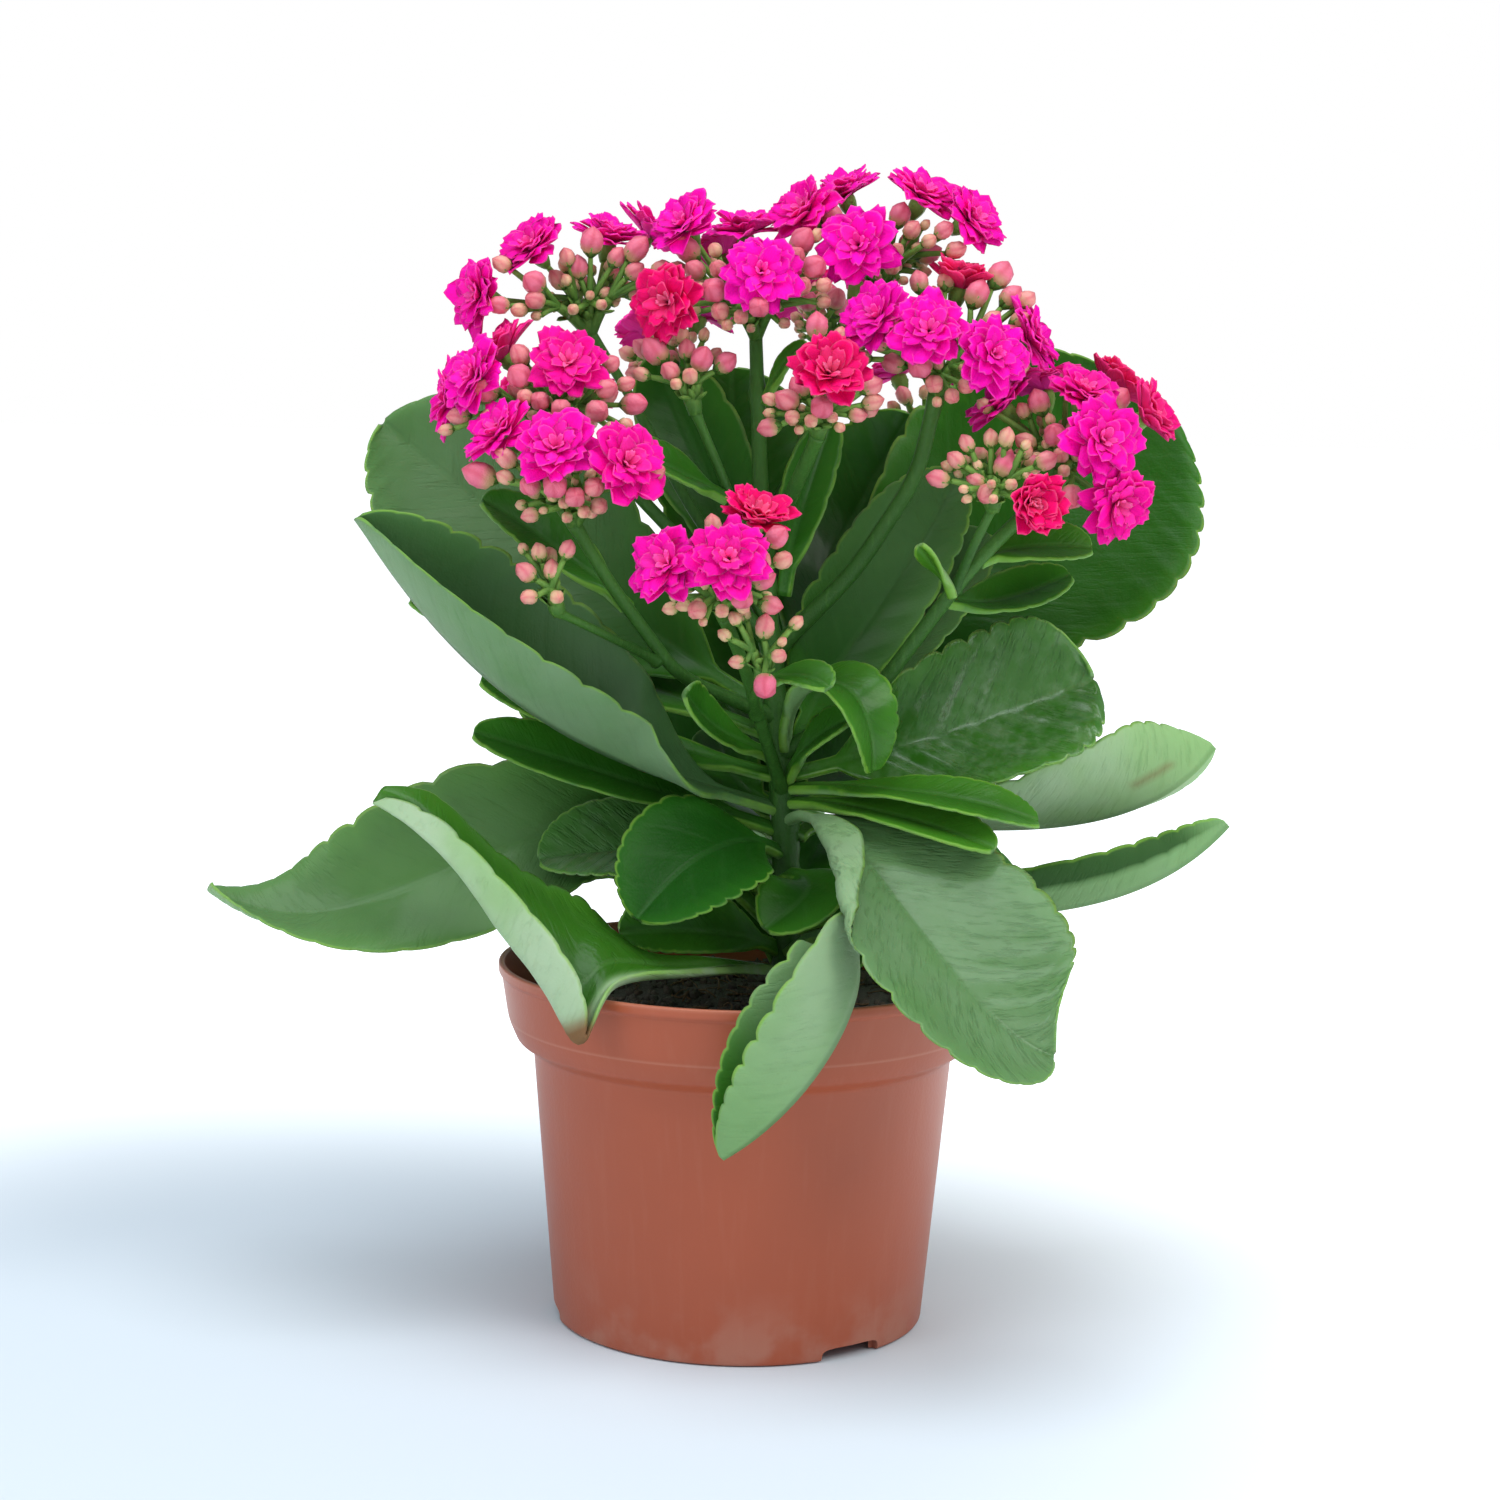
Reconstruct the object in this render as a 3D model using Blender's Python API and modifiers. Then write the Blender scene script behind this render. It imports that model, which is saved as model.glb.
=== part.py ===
"""A potted kalanchoe: a nursery pot, its soil, a branched stem, broad
crenate leaves and heads of double flowers and buds.

Units are metres with +Z up. The origin is the centre of the pot's flat
base. The tables below are in millimetres, and +Y points away from the
front of the plant. Run it with: blender --background --python part.py
"""
import math
import random
from dataclasses import dataclass

import bmesh
import bpy
import numpy as np
from mathutils import Matrix, Vector

MM = 0.001
GAP = 0.3

# Pot: a 12 cm nursery pot
POT_STEPS = 28
POT_HEIGHT = 88.0
RIM_RADIUS = 60.0
COLLAR_RADIUS = 57.5
COLLAR_FOOT = 66.6
COLLAR_KNEE = 74.1
STEP_WIDTH = 2.2
STEP_HEIGHT = 2.6
LIP_HEIGHT = 2.4
LIP_WIDTH = 0.8
BODY_TOP_RADIUS = 51.3
BASE_RADIUS = 45.4
WALL = 1.4
FLOOR_TOP = 4.5
FOOT_LIFT = 3.0
FOOT_DISC_RADIUS = 20.0
FOOT_RING = 2.0
DRAIN_HOLES = 6
DRAIN_SIDES = 6
DRAIN_RADIUS = 3.5
DRAIN_CIRCLE = 32.0
NOTCHES = 3
NOTCH_WIDTH = 17.0
NOTCH_DEEP = 5.2
NOTCH_ANGLE = -53.0

# Soil
SOIL_TOP = 79.0
SOIL_EDGE = 77.6
SOIL_FLAT = 30.0
STEM_HOLE_FLOOR = 56.0

# Main stem: points up its middle, and its radius at each
STEM_PATH = [(10, 0, 57), (10.5, 0, 95), (9, 1, 130), (5, 3, 165),
             (2, 5, 200), (0, 6, 240)]
STEM_RADII = [3.3, 3.2, 3.0, 2.5, 2.0, 1.6]
STALK_RADIUS = 1.4

# Flower stalks: the head each one carries, and its points from the stem
STALKS = [
    ("head_a", [(4, 3, 172), (-15, 6, 198), (-33, 5, 230), (-40, 4, 240)]),
    ("head_c", [(2, 5, 192), (14, 13, 214), (26, 9, 240), (29, 7, 250)]),
    ("head_d", [(5, 3, 163), (25, 0, 184), (39, -6, 207), (43, -12, 227)]),
    ("head_e", [(3, 4, 188), (9, -9, 202), (15, -22, 217)]),
    ("head_f", [(8, 1, 139), (29, -10, 154), (52, -17, 187), (72, -13, 207)]),
    ("head_g", [(5, 3, 166), (-18, -6, 192), (-38, -15, 213), (-45, -18, 217)]),
    ("head_h", [(6, 2, 148), (-17, -13, 159), (-33, -27, 182), (-41, -34, 196)]),
    ("head_i", [(9, 1, 129), (4, -14, 145), (-1, -30, 163), (-6, -43, 176)]),
    ("head_j", [(-22, -16, 163), (-33, -31, 170), (-44, -40, 176)]),
    ("head_k", [(2, -20, 151), (1, -31, 156), (3, -43, 162)]),
    ("head_m", [(3, 4, 180), (-5, -5, 201), (-14, -13, 222)]),
    ("head_n", [(48, -16, 181), (52, -21, 192), (56, -24, 201)]),
    ("head_p", [(4, 3, 170), (-7, 18, 196), (-20, 32, 226)]),
    ("head_q", [(4, 4, 174), (10, 22, 204), (17, 34, 235)]),
    ("head_r", [(8, 2, 136), (22, 34, 166), (37, 52, 198), (42, 57, 212)]),
    ("head_s", [(7, 2, 137), (-20, 34, 168), (-42, 50, 196), (-50, 54, 208)]),
]

# Leaf build
LEAF_THICKNESS = 1.3
PETIOLE_HALF = 2.0
PETIOLE_PART = 0.16
PETIOLE_SHARE = 0.14
TIP_HALF = 1.2
CRENATION = 0.06
NET_THIRD = 0.55
NET_BULGE = 0.12
NET_BLUR = (0.045, 0.16)
NET_SAMPLES = 7
NET_KNOTS = np.array([-1.0, -0.45, 0.3, 1.0])
FLAP_SOFTNESS = 0.2
SLOPE_STEPS = 24
LARGE_ROWS = 10
SMALL_ROWS = 6

# Flowers and buds
BLOOM_RADIUS = 9.6
BLOOM_PETALS = 4
PETAL_STEPS = 3
NOTCH_DEPTH = 0.74
INNER_WHORL = 0.68
VALLEY = 0.5
BUD_RADIUS = 2.9
BUD_SIDES = 4
BRANCH_SIDES = 3
BRANCH_RADIUS = 0.9
TWIG_RADIUS = 0.65
CORE_RADIUS = 2.4
GOLDEN_ANGLE = math.pi * (3.0 - math.sqrt(5.0))


@dataclass
class Leaf:
    """One leaf. root is a height on the main stem or a point on a stalk,
    points go on along the midrib to the tip, and faces are the ways that
    the upper side looks from root to tip. The left and the right half have
    the shares halves of half the width, rise from the midrib by fold degrees
    and are cupped. The blade is widest at its peak, and swell and taper are
    the powers of its outline before and past it. flap folds the edge of one
    half over: which half, by how many degrees, and from which part of the
    half's width on at some shares of the length. net gives a leaf that no
    such rule fits by rows of points: its near edge, its fold and its far
    edge."""
    name: str
    root: object
    points: list
    width: float
    faces: list
    fold: tuple = (10, 10)
    halves: tuple = (1.0, 1.0)
    cup: float = 15.0
    wave: float = 0.0
    peak: float = 0.6
    swell: float = 1.8
    taper: float = 2.4
    flap: tuple = ()
    net: tuple = ()
    rows: int = LARGE_ROWS
    columns: int = 4


def small_leaf(name, root, points, width, faces):
    return Leaf(name, root, points, width, faces, rows=SMALL_ROWS, columns=2)


LEAVES = [
    Leaf("leaf_left_folded", 126, [(-25, -13, 137), (-58, -21, 156), (-92, -26, 196)],
         56, [(0, -0.45, 0.89)], fold=(55, 55), cup=12),
    Leaf("leaf_left_round", 151, [(-42, 17, 179), (-92, 26, 217)],
         56, [(0.15, -0.9, 0.3)], wave=1.5, peak=0.66),
    Leaf("leaf_right_round", (6.6, 6.4, 154), [(59, 34, 186), (103, 40, 225)],
         86, [(-0.1, -0.9, 0.35)], wave=2.0, rows=12),
    Leaf("leaf_right_upright", 143, [(20, 5.2, 158.5), (34.5, 10, 180), (50, 14, 208)],
         48, [(-0.15, -0.95, 0.2)], halves=(0.72, 0.5), peak=0.5, swell=2.2,
         taper=3.5),
    Leaf("leaf_right_grey", 139, [(33.5, 10, 162.4), (58, 15, 193)],
         28, [(-0.5, -0.75, 0.4)], peak=0.65, columns=2),
    Leaf("leaf_right_glossy", 134.5, [(47, -7, 146), (83, -4, 159)],
         44, [(-0.2, -0.85, 0.5)], wave=2.0, peak=0.62, taper=4.0),
    Leaf("leaf_right_short", 131, [(42, -26, 133.5), (68, -31, 128)],
         22, [(0.05, -0.4, 0.92)], halves=(0.7, 1.0), columns=2),
    Leaf("leaf_right_twisted", 120, [(40, 6, 122), (80, 0, 124), (113, 0, 143)],
         45, [(0.1, -0.5, 0.85), (-0.3, 0.75, 0.6)], fold=(22, 22), peak=0.7,
         taper=3.5),
    Leaf("leaf_right_low", 96, [(45, -4, 101), (82, -11, 106), (115, -14, 126)],
         27, [(0, 0.35, 0.94)], fold=(35, 35), columns=2),
    Leaf("leaf_front_drooping", 123.5, [(27, -32, 119), (48, -56, 96), (70, -65, 80)],
         60, [(0.25, -0.75, 0.6)], fold=(8, 22), peak=0.54,
         flap=(1, 150, (0.1, 0.3, 0.62), (0.35, 0.45, 1.1)), rows=12, columns=10),
    Leaf("leaf_front_hanging", 92, [(25.5, -50, 99.5), (19, -70, 81), (-4, -75, 58)],
         43, [(-0.6, -0.1, 0.8), (-0.85, -0.2, 0.4)], fold=(60, 72)),
    Leaf("leaf_left_curled", 86, [(-30, -30, 95), (-85, -26, 131)],
         84, [(0.1, -0.3, 0.9)], net=(
             [(0.4, -14.2, 89), (0.4, -14.2, 89), (-2.4, -11.8, 89)],
             [(-8.6, -28, 91), (-9, -27, 90), (-12, -21, 93)],
             [(-18, -40, 93), (-17, -37, 91), (-22, -27, 93)],
             [(-28, -49, 94), (-27, -46, 92), (-29, -27, 98)],
             [(-32, -58, 91), (-33, -55, 90), (-34, -27, 103)],
             [(-36, -61, 77), (-37, -59, 75), (-38, -26, 108)],
             [(-34, -61, 88), (-42, -56, 84), (-44, -26, 110)],
             [(-38, -57, 97), (-49, -51, 94), (-51, -26, 113)],
             [(-46, -51, 106), (-57, -45, 101), (-57, -26, 117)],
             [(-55, -45, 114), (-64, -40, 112), (-64, -26, 123)],
             [(-64, -38, 122), (-75, -34, 122), (-71, -24, 130)],
             [(-74, -31, 129), (-84, -29, 127), (-77, -24, 133)],
             [(-84, -28, 131), (-88, -27, 129), (-85, -25, 133)],
         ), rows=12, columns=8),
    Leaf("leaf_left_wavy", 98, [(-44, 5, 118), (-87, -6, 103.5), (-129, -10, 105)],
         48, [(0, -0.6, 0.8), (0.1, -0.8, 0.6), (0, -0.2, 1)],
         wave=2.5, peak=0.4, taper=0.8, rows=12),
    Leaf("leaf_front_dark", 116, [(-8, -22, 118.5), (-25, -37, 104.5)],
         44, [(-0.1, -0.8, 0.6)], halves=(0.85, 0.8), peak=0.5),
    small_leaf("leaf_front_small", 110, [(15, -19, 109), (5, -31, 101.5)],
               22, [(-0.1, -0.7, 0.7)]),
    Leaf("leaf_low_soil", 92, [(-8, -12, 97), (-30, -16, 97)],
         22, [(0, -0.9, 0.45)], halves=(0.6, 1.0), columns=2),
    Leaf("leaf_left_mid_upper", 134, [(-28, 2, 143), (-65, -1, 156)],
         20, [(0, -0.6, 0.8)], halves=(1.0, 0.5), columns=2),
    small_leaf("leaf_left_mid_lower", 121, [(-28, -5, 132), (-66, -9, 144)],
               20, [(0, -0.6, 0.8)]),
    Leaf("leaf_left_glossy", 107, [(-20, -4, 115), (-50, -7, 113)],
         30, [(0, -0.6, 0.8)], halves=(0.85, 1.0), columns=2),
    Leaf("leaf_left_under", 144, [(-38, 14, 158), (-84, 15, 174)],
         40, [(0, -0.5, 0.85)], halves=(0.7, 1.0), columns=2),
    Leaf("leaf_back_centre", 167, [(-3, 34, 193), (-6, 50, 232)],
         44, [(0, -0.9, 0.3)], rows=8),
    Leaf("leaf_back_right", 162, [(21, 40, 186), (40, 48, 221)],
         36, [(-0.1, -0.9, 0.3)], rows=8),
    Leaf("leaf_back_low_left", 104, [(-30, 28, 108), (-64, 54, 97)],
         50, [(-0.2, -0.35, 0.9)], rows=8),
    Leaf("leaf_back_low_right", 98, [(42, 30, 106), (76, 60, 94)],
         52, [(0.2, -0.35, 0.9)], rows=8),
    Leaf("leaf_back_drooping", 110, [(3, 44, 120), (-4, 88, 94)],
         50, [(0, 0.4, 0.9)], rows=8),
    Leaf("leaf_back_mid_left", 127, [(-26, 28, 138), (-60, 54, 156)],
         54, [(0.1, -0.8, 0.6)], halves=(0.7, 0.75), peak=0.5, swell=2.2, rows=8),
    Leaf("leaf_back_mid_right", 126, [(30, 28, 134), (64, 53, 144)],
         56, [(-0.1, -0.8, 0.6)], halves=(1.0, 0.6), peak=0.5, swell=2.2, rows=8),
    Leaf("leaf_back_high", 134, [(5, 33, 151), (-2, 56, 183)],
         38, [(0, -0.95, 0.3)], peak=0.5, rows=8),
    small_leaf("leaf_centre_left", 139, [(-8, -14, 147), (-15, -24, 156)],
               16, [(0, -0.7, 0.7)]),
    Leaf("leaf_centre_arch", 143, [(14, -15, 157), (24, -26, 157), (29, -27, 139)],
         20, [(-0.2, -0.4, 0.9), (0.6, -0.6, 0.5)], rows=8, columns=2),
    small_leaf("leaf_centre_inner", 135, [(16, -12, 144), (24, -20, 150)],
               13, [(0, -0.7, 0.7)]),
    small_leaf("leaf_bract_centre", (3.8, -33, 159.6), [(11, -38, 162), (18, -43, 160)],
               12, [(0, -0.5, 0.85)]),
    small_leaf("leaf_small_front", 127.5, [(34, -25, 128.2), (57, -41, 123)],
               16, [(0.1, -0.5, 0.85)]),
    small_leaf("leaf_right_upper", (55, -14.6, 188.3), [(66, -11, 191), (81, -9, 191)],
               16, [(0, -0.6, 0.8)]),
    small_leaf("leaf_right_middle", (46.7, -12.9, 178), [(60, -5, 178), (77, 0, 184)],
               16, [(0, -0.6, 0.8)]),
    small_leaf("leaf_bract_right", (47, -19, 181), [(44, -23, 186), (39, -27, 192)],
               7, [(-0.6, -0.5, 0.5)]),
    small_leaf("leaf_upright", 180, [(12, 4, 198), (19, 6, 220)],
               14, [(-0.3, -0.9, 0.2)]),
    small_leaf("leaf_under_head", (-29.9, -21.35, 176.8), [(-45, -13, 188), (-64, -14, 200)],
               18, [(0.1, -0.6, 0.8)]),
    small_leaf("leaf_right_of_head", (-7.7, -7.9, 202), [(-17, -13, 207), (-28, -19, 213)],
               14, [(0, -0.6, 0.8)]),
    small_leaf("leaf_bract_top", 226, [(7, 2, 233), (12, -1, 238)],
               7, [(0, -0.6, 0.8)]),
]


@dataclass
class Head:
    """One flower head on the tip of a stalk: the places of its open
    flowers, and its buds, by a rule or one by one."""
    name: str
    tip: tuple
    lean: tuple
    blooms: list
    buds: int = 0
    reach: float = 14.0
    spread: float = 95.0
    placed: tuple = ()


HEADS = [
    Head("head_a", (-40, 4, 240), (-0.2, -0.1, 1),
         [(-65, -4, 248), (-53, 0, 259), (-36, 10, 262), (-27, 20, 264)], 5, 15),
    Head("head_b", (0, 6, 240), (-0.1, -0.5, 1),
         [(-17, -2, 265), (1, -20, 254), (-3, 11, 264), (-9, 22, 259), (-20, -16, 247)], 5, 17),
    Head("head_c", (29, 7, 250), (0.1, -0.2, 1),
         [(12, 3, 269), (21, 14, 274), (24, -10, 261), (39, 8, 273), (50, 2, 268)], 4, 14),
    Head("head_d", (43, -12, 227), (0.1, -0.4, 1),
         [(29, -20, 244), (40, -28, 241), (54, -27, 236), (48, -4, 252), (64, -10, 240)], 4, 15),
    Head("head_e", (15, -22, 217), (0, -0.6, 1),
         [(17, -35, 231)], 5, 12),
    Head("head_f", (72, -13, 207), (0.1, -0.2, 1),
         [(59, -8, 224), (70, 4, 228), (77, -16, 227), (86, 2, 228), (92, -10, 222),
          (80, -28, 217), (84, -27, 203)], 4, 13),
    Head("head_g", (-45, -18, 217), (-0.2, -0.3, 1),
         [(-43, -30, 232), (-59, -12, 234), (-64, -26, 229), (-70, -14, 224)], 5, 14),
    Head("head_h", (-41, -34, 196), (-0.1, -0.5, 1),
         [(-57, -36, 216), (-44, -48, 213), (-29, -48, 210)], 5, 13),
    Head("head_i", (-6, -43, 176), (0, -0.5, 1),
         [(-18, -56, 188), (-5, -62, 190), (1, -45, 198)], 4, 12),
    Head("head_j", (-44, -40, 176), (-0.3, -0.4, 1), [],
         placed=((-51, -44, 185), (-44, -43, 186), (-51, -46, 179), (-43, -46, 180))),
    Head("head_k", (3, -43, 162), (0, -0.6, 1), [],
         placed=((4, -46, 175), (9, -48, 170), (-3, -47, 166), (4, -54, 161))),
    Head("head_m", (-14, -13, 222), (-0.2, -0.2, 1), [],
         placed=((-25, -14, 236), (-12, -19, 236), (-19, -24, 232), (-12, -24, 228),
                 (-26, -18, 229))),
    Head("head_n", (56, -24, 201), (0, -0.4, 1),
         [(63, -36, 203)],
         placed=((60, -25, 211), (53, -28, 208), (51, -30, 202))),
    Head("head_p", (-20, 32, 226), (-0.2, 0.4, 1),
         [(-26, 46, 241), (-14, 36, 245)], 4, 14),
    Head("head_q", (17, 34, 235), (0.1, 0.4, 1),
         [(12, 50, 250), (26, 42, 254)], 4, 14),
    Head("head_r", (42, 57, 212), (0.3, 0.3, 1),
         [(52, 68, 226), (37, 62, 231)], 4, 13),
    Head("head_s", (-50, 54, 208), (-0.3, 0.3, 1),
         [(-62, 62, 221), (-46, 66, 226)], 4, 13),
]


def material(name, colour, roughness):
    """A plain finish in the colour of the real surface."""
    made = bpy.data.materials.new(name)
    made.use_nodes = True
    shader = made.node_tree.nodes["Principled BSDF"]
    shader.inputs["Base Color"].default_value = (*colour, 1.0)
    shader.inputs["Roughness"].default_value = roughness
    shader.inputs["Metallic"].default_value = 0.0
    made.diffuse_color = (*colour, 1.0)
    return made


def make_materials():
    return {
        "pot": material("pot_plastic", (0.38, 0.11, 0.06), 0.42),
        "soil": material("peat", (0.03, 0.02, 0.015), 0.95),
        "stem": material("stem_green", (0.16, 0.35, 0.07), 0.5),
        "leaf": material("leaf_green", (0.07, 0.23, 0.04), 0.35),
        "head": material("petal_magenta", (0.8, 0.01, 0.4), 0.5),
    }


def clear_scene():
    for old in list(bpy.data.objects):
        bpy.data.objects.remove(old, do_unlink=True)


def new_collection(name):
    made = bpy.data.collections.new(name)
    bpy.context.scene.collection.children.link(made)
    return made


def object_from_bmesh(name, bm, group):
    mesh = bpy.data.meshes.new(name)
    bm.to_mesh(mesh)
    bm.free()
    made = bpy.data.objects.new(name, mesh)
    group.objects.link(made)
    return made


def finish(piece, finish_material, angle=35.0):
    piece.data.materials.clear()
    piece.data.materials.append(finish_material)
    piece.data.shade_smooth()
    piece.data.set_sharp_from_angle(angle=math.radians(angle))
    return piece


def evaluated_mesh(piece):
    """The piece's mesh with its modifiers applied."""
    graph = bpy.context.evaluated_depsgraph_get()
    graph.update()
    return bpy.data.meshes.new_from_object(piece.evaluated_get(graph))


def fuse(name, pieces, group):
    """One body made from overlapping pieces by one union."""
    first, rest = pieces[0], pieces[1:]
    others = new_collection(name + "_pieces")
    for piece in rest:
        for holder in list(piece.users_collection):
            holder.objects.unlink(piece)
        others.objects.link(piece)
    union = first.modifiers.new("union", "BOOLEAN")
    union.operation = "UNION"
    union.operand_type = "COLLECTION"
    union.collection = others
    union.solver = "EXACT"
    fused = bpy.data.objects.new(name, evaluated_mesh(first))
    fused.data.name = name
    group.objects.link(fused)
    for piece in pieces:
        bpy.data.objects.remove(piece, do_unlink=True)
    bpy.data.collections.remove(others)
    return fused


def turned(name, profile, group):
    """A profile of (radius, height) points in mm, turned once about Z."""
    bm = bmesh.new()
    verts = [bm.verts.new((r * MM, 0, z * MM)) for r, z in profile]
    for low, high in zip(verts, verts[1:]):
        bm.edges.new((low, high))
    piece = object_from_bmesh(name, bm, group)
    screw = piece.modifiers.new("turn", "SCREW")
    screw.steps = POT_STEPS
    screw.render_steps = POT_STEPS
    screw.use_merge_vertices = True
    screw.merge_threshold = 0.00001
    return piece


def cut(piece, cutters):
    """Each cutter taken out of the piece."""
    for cutter in cutters:
        cutter.hide_render = True
        cutter.display_type = "WIRE"
        taken = piece.modifiers.new(cutter.name, "BOOLEAN")
        taken.operation = "DIFFERENCE"
        taken.object = cutter
        taken.solver = "EXACT"


def pot_inner_radius(z):
    """Radius of the pot's inside at a height."""
    heights = [0, COLLAR_FOOT, COLLAR_KNEE, POT_HEIGHT]
    radii = np.array([BASE_RADIUS, BODY_TOP_RADIUS, COLLAR_RADIUS, RIM_RADIUS]) - WALL
    return float(np.interp(z, heights, radii))


def make_pot(group, cutters, finishes):
    """The pot: a tapered cup with a stepped collar, a small lip, a raised
    floor with drain holes, and a foot ring with water notches."""
    inside = [(0, FLOOR_TOP)]
    for z in (FLOOR_TOP, COLLAR_FOOT, COLLAR_KNEE, POT_HEIGHT):
        inside.append((pot_inner_radius(z), z))
    outside = [
        (RIM_RADIUS, POT_HEIGHT),
        (RIM_RADIUS, POT_HEIGHT - LIP_HEIGHT),
        (RIM_RADIUS - LIP_WIDTH, POT_HEIGHT - LIP_HEIGHT - LIP_WIDTH),
        (COLLAR_RADIUS, COLLAR_KNEE),
        (COLLAR_RADIUS - STEP_WIDTH, COLLAR_FOOT + STEP_HEIGHT),
        (BODY_TOP_RADIUS, COLLAR_FOOT),
        (BASE_RADIUS, 0),
    ]
    under = [
        (BASE_RADIUS - FOOT_RING, 0),
        (BASE_RADIUS - FOOT_RING, FOOT_LIFT),
        (FOOT_DISC_RADIUS + 1.0, FOOT_LIFT),
        (FOOT_DISC_RADIUS, 0),
        (0, 0),
    ]
    pot = turned("pot", inside + outside + under, group)
    tools = []
    for index in range(DRAIN_HOLES):
        angle = math.tau * index / DRAIN_HOLES
        bm = bmesh.new()
        place = Matrix.Translation((DRAIN_CIRCLE * MM * math.cos(angle),
                                    DRAIN_CIRCLE * MM * math.sin(angle),
                                    FLOOR_TOP * MM))
        bmesh.ops.create_cone(bm, cap_ends=True, segments=DRAIN_SIDES,
                              radius1=DRAIN_RADIUS * MM, radius2=DRAIN_RADIUS * MM,
                              depth=2 * FLOOR_TOP * MM, matrix=place)
        tools.append(object_from_bmesh(f"drain_{index}", bm, cutters))
    for index in range(NOTCHES):
        angle = math.radians(NOTCH_ANGLE) + math.tau * index / NOTCHES
        bm = bmesh.new()
        place = Matrix.Rotation(angle, 4, "Z") @ Matrix.Translation(
            (BASE_RADIUS * MM, 0, 0)) @ Matrix.Diagonal(
            (NOTCH_DEEP * MM, NOTCH_WIDTH * MM, 2 * FOOT_LIFT * MM, 1))
        bmesh.ops.create_cube(bm, size=1.0, matrix=place)
        tools.append(object_from_bmesh(f"notch_{index}", bm, cutters))
    cut(pot, tools)
    return finish(pot, finishes["pot"])


def make_soil(group, cutters, finishes):
    """The potted soil, a plug with a hole where the stem stands."""
    side = GAP + 0.1
    profile = [
        (0, SOIL_TOP),
        (SOIL_FLAT, SOIL_TOP),
        (pot_inner_radius(SOIL_EDGE) - side, SOIL_EDGE),
        (pot_inner_radius(COLLAR_KNEE) - side, COLLAR_KNEE),
        (pot_inner_radius(COLLAR_FOOT) - side, COLLAR_FOOT + side),
        (pot_inner_radius(FLOOR_TOP) - side, FLOOR_TOP + side),
        (0, FLOOR_TOP + side),
    ]
    soil = turned("soil", profile, group)
    bm = bmesh.new()
    x, y, _ = STEM_PATH[0]
    depth = SOIL_TOP - STEM_HOLE_FLOOR
    place = Matrix.Translation((x * MM, y * MM, (STEM_HOLE_FLOOR + depth) * MM))
    radius = (STEM_RADII[0] + 2 * GAP) * MM
    bmesh.ops.create_cone(bm, cap_ends=True, segments=10, radius1=radius, radius2=radius,
                          depth=2 * depth * MM, matrix=place)
    cut(soil, [object_from_bmesh("stem_hole", bm, cutters)])
    return finish(soil, finishes["soil"])


def tube(name, points, radii, sides_level, group):
    """A closed tube along points, with its own radius at each."""
    curve = bpy.data.curves.new(name, "CURVE")
    curve.dimensions = "3D"
    curve.bevel_depth = MM
    curve.bevel_resolution = sides_level
    curve.use_fill_caps = True
    spline = curve.splines.new("POLY")
    spline.points.add(len(points) - 1)
    for target, point, radius in zip(spline.points, points, radii):
        target.co = (*(Vector(point) * MM), 1.0)
        target.radius = radius
    wire = bpy.data.objects.new(name + "_line", curve)
    group.objects.link(wire)
    mesh = evaluated_mesh(wire)
    bpy.data.objects.remove(wire, do_unlink=True)
    bm = bmesh.new()
    bm.from_mesh(mesh)
    bpy.data.meshes.remove(mesh)
    bmesh.ops.remove_doubles(bm, verts=bm.verts, dist=0.00001)
    return object_from_bmesh(name, bm, group)


def stem_at(height):
    """Middle and radius of the main stem at a height."""
    path = np.array(STEM_PATH, float)
    middle = np.array([np.interp(height, path[:, 2], path[:, axis]) for axis in range(3)])
    return middle, float(np.interp(height, path[:, 2], STEM_RADII))


def make_stem(group, finishes):
    """The main stem and its flower stalks, grown as one piece."""
    pieces = [tube("stem_main", STEM_PATH, STEM_RADII, 1, group)]
    for name, points in STALKS:
        radii = np.linspace(STALK_RADIUS + 0.2, STALK_RADIUS - 0.2, len(points))
        pieces.append(tube(name + "_stalk", points, radii, 0, group))
    return finish(fuse("stem", pieces, group), finishes["stem"], 60)


def through(points, share):
    """The smooth curve (Lagrange's polynomial) through evenly spaced points."""
    points = np.array(points, float)
    knots = np.linspace(0, 1, len(points))
    total = np.zeros((len(share), 3))
    for index, knot in enumerate(knots):
        weight = np.ones(len(share))
        for other in np.delete(knots, index):
            weight = weight * (share - other) / (knot - other)
        total += weight[:, None] * points[index]
    return total


def unit(rows):
    return rows / np.linalg.norm(rows, axis=1, keepdims=True)


def blade_frame(leaf, root, share):
    """The midrib's points, and the ways up and to the right of the blade."""
    line = [root] + list(leaf.points)
    ahead = unit(through(line, share + 0.01) - through(line, share - 0.01))
    faces = leaf.faces if len(leaf.faces) > 1 else leaf.faces * 2
    up = unit(through(faces, share))
    up = unit(up - ahead * np.sum(up * ahead, axis=1, keepdims=True))
    return through(line, share), up, np.cross(ahead, up)


def leaf_root(leaf):
    """The leaf's first point, just clear of the stem it grows from."""
    if isinstance(leaf.root, tuple):
        return np.array(leaf.root, float)
    middle, radius = stem_at(leaf.root)
    way = np.array(leaf.points[0], float) - middle
    way[2] = 0
    way = way / np.linalg.norm(way)
    _, up, side = blade_frame(leaf, middle + way * radius, np.zeros(1))
    corner = (min(PETIOLE_HALF, PETIOLE_PART * leaf.width) * abs(side[0] @ way)
              + LEAF_THICKNESS / 2 * abs(up[0] @ way))
    return middle + way * (radius + GAP + corner)


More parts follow.
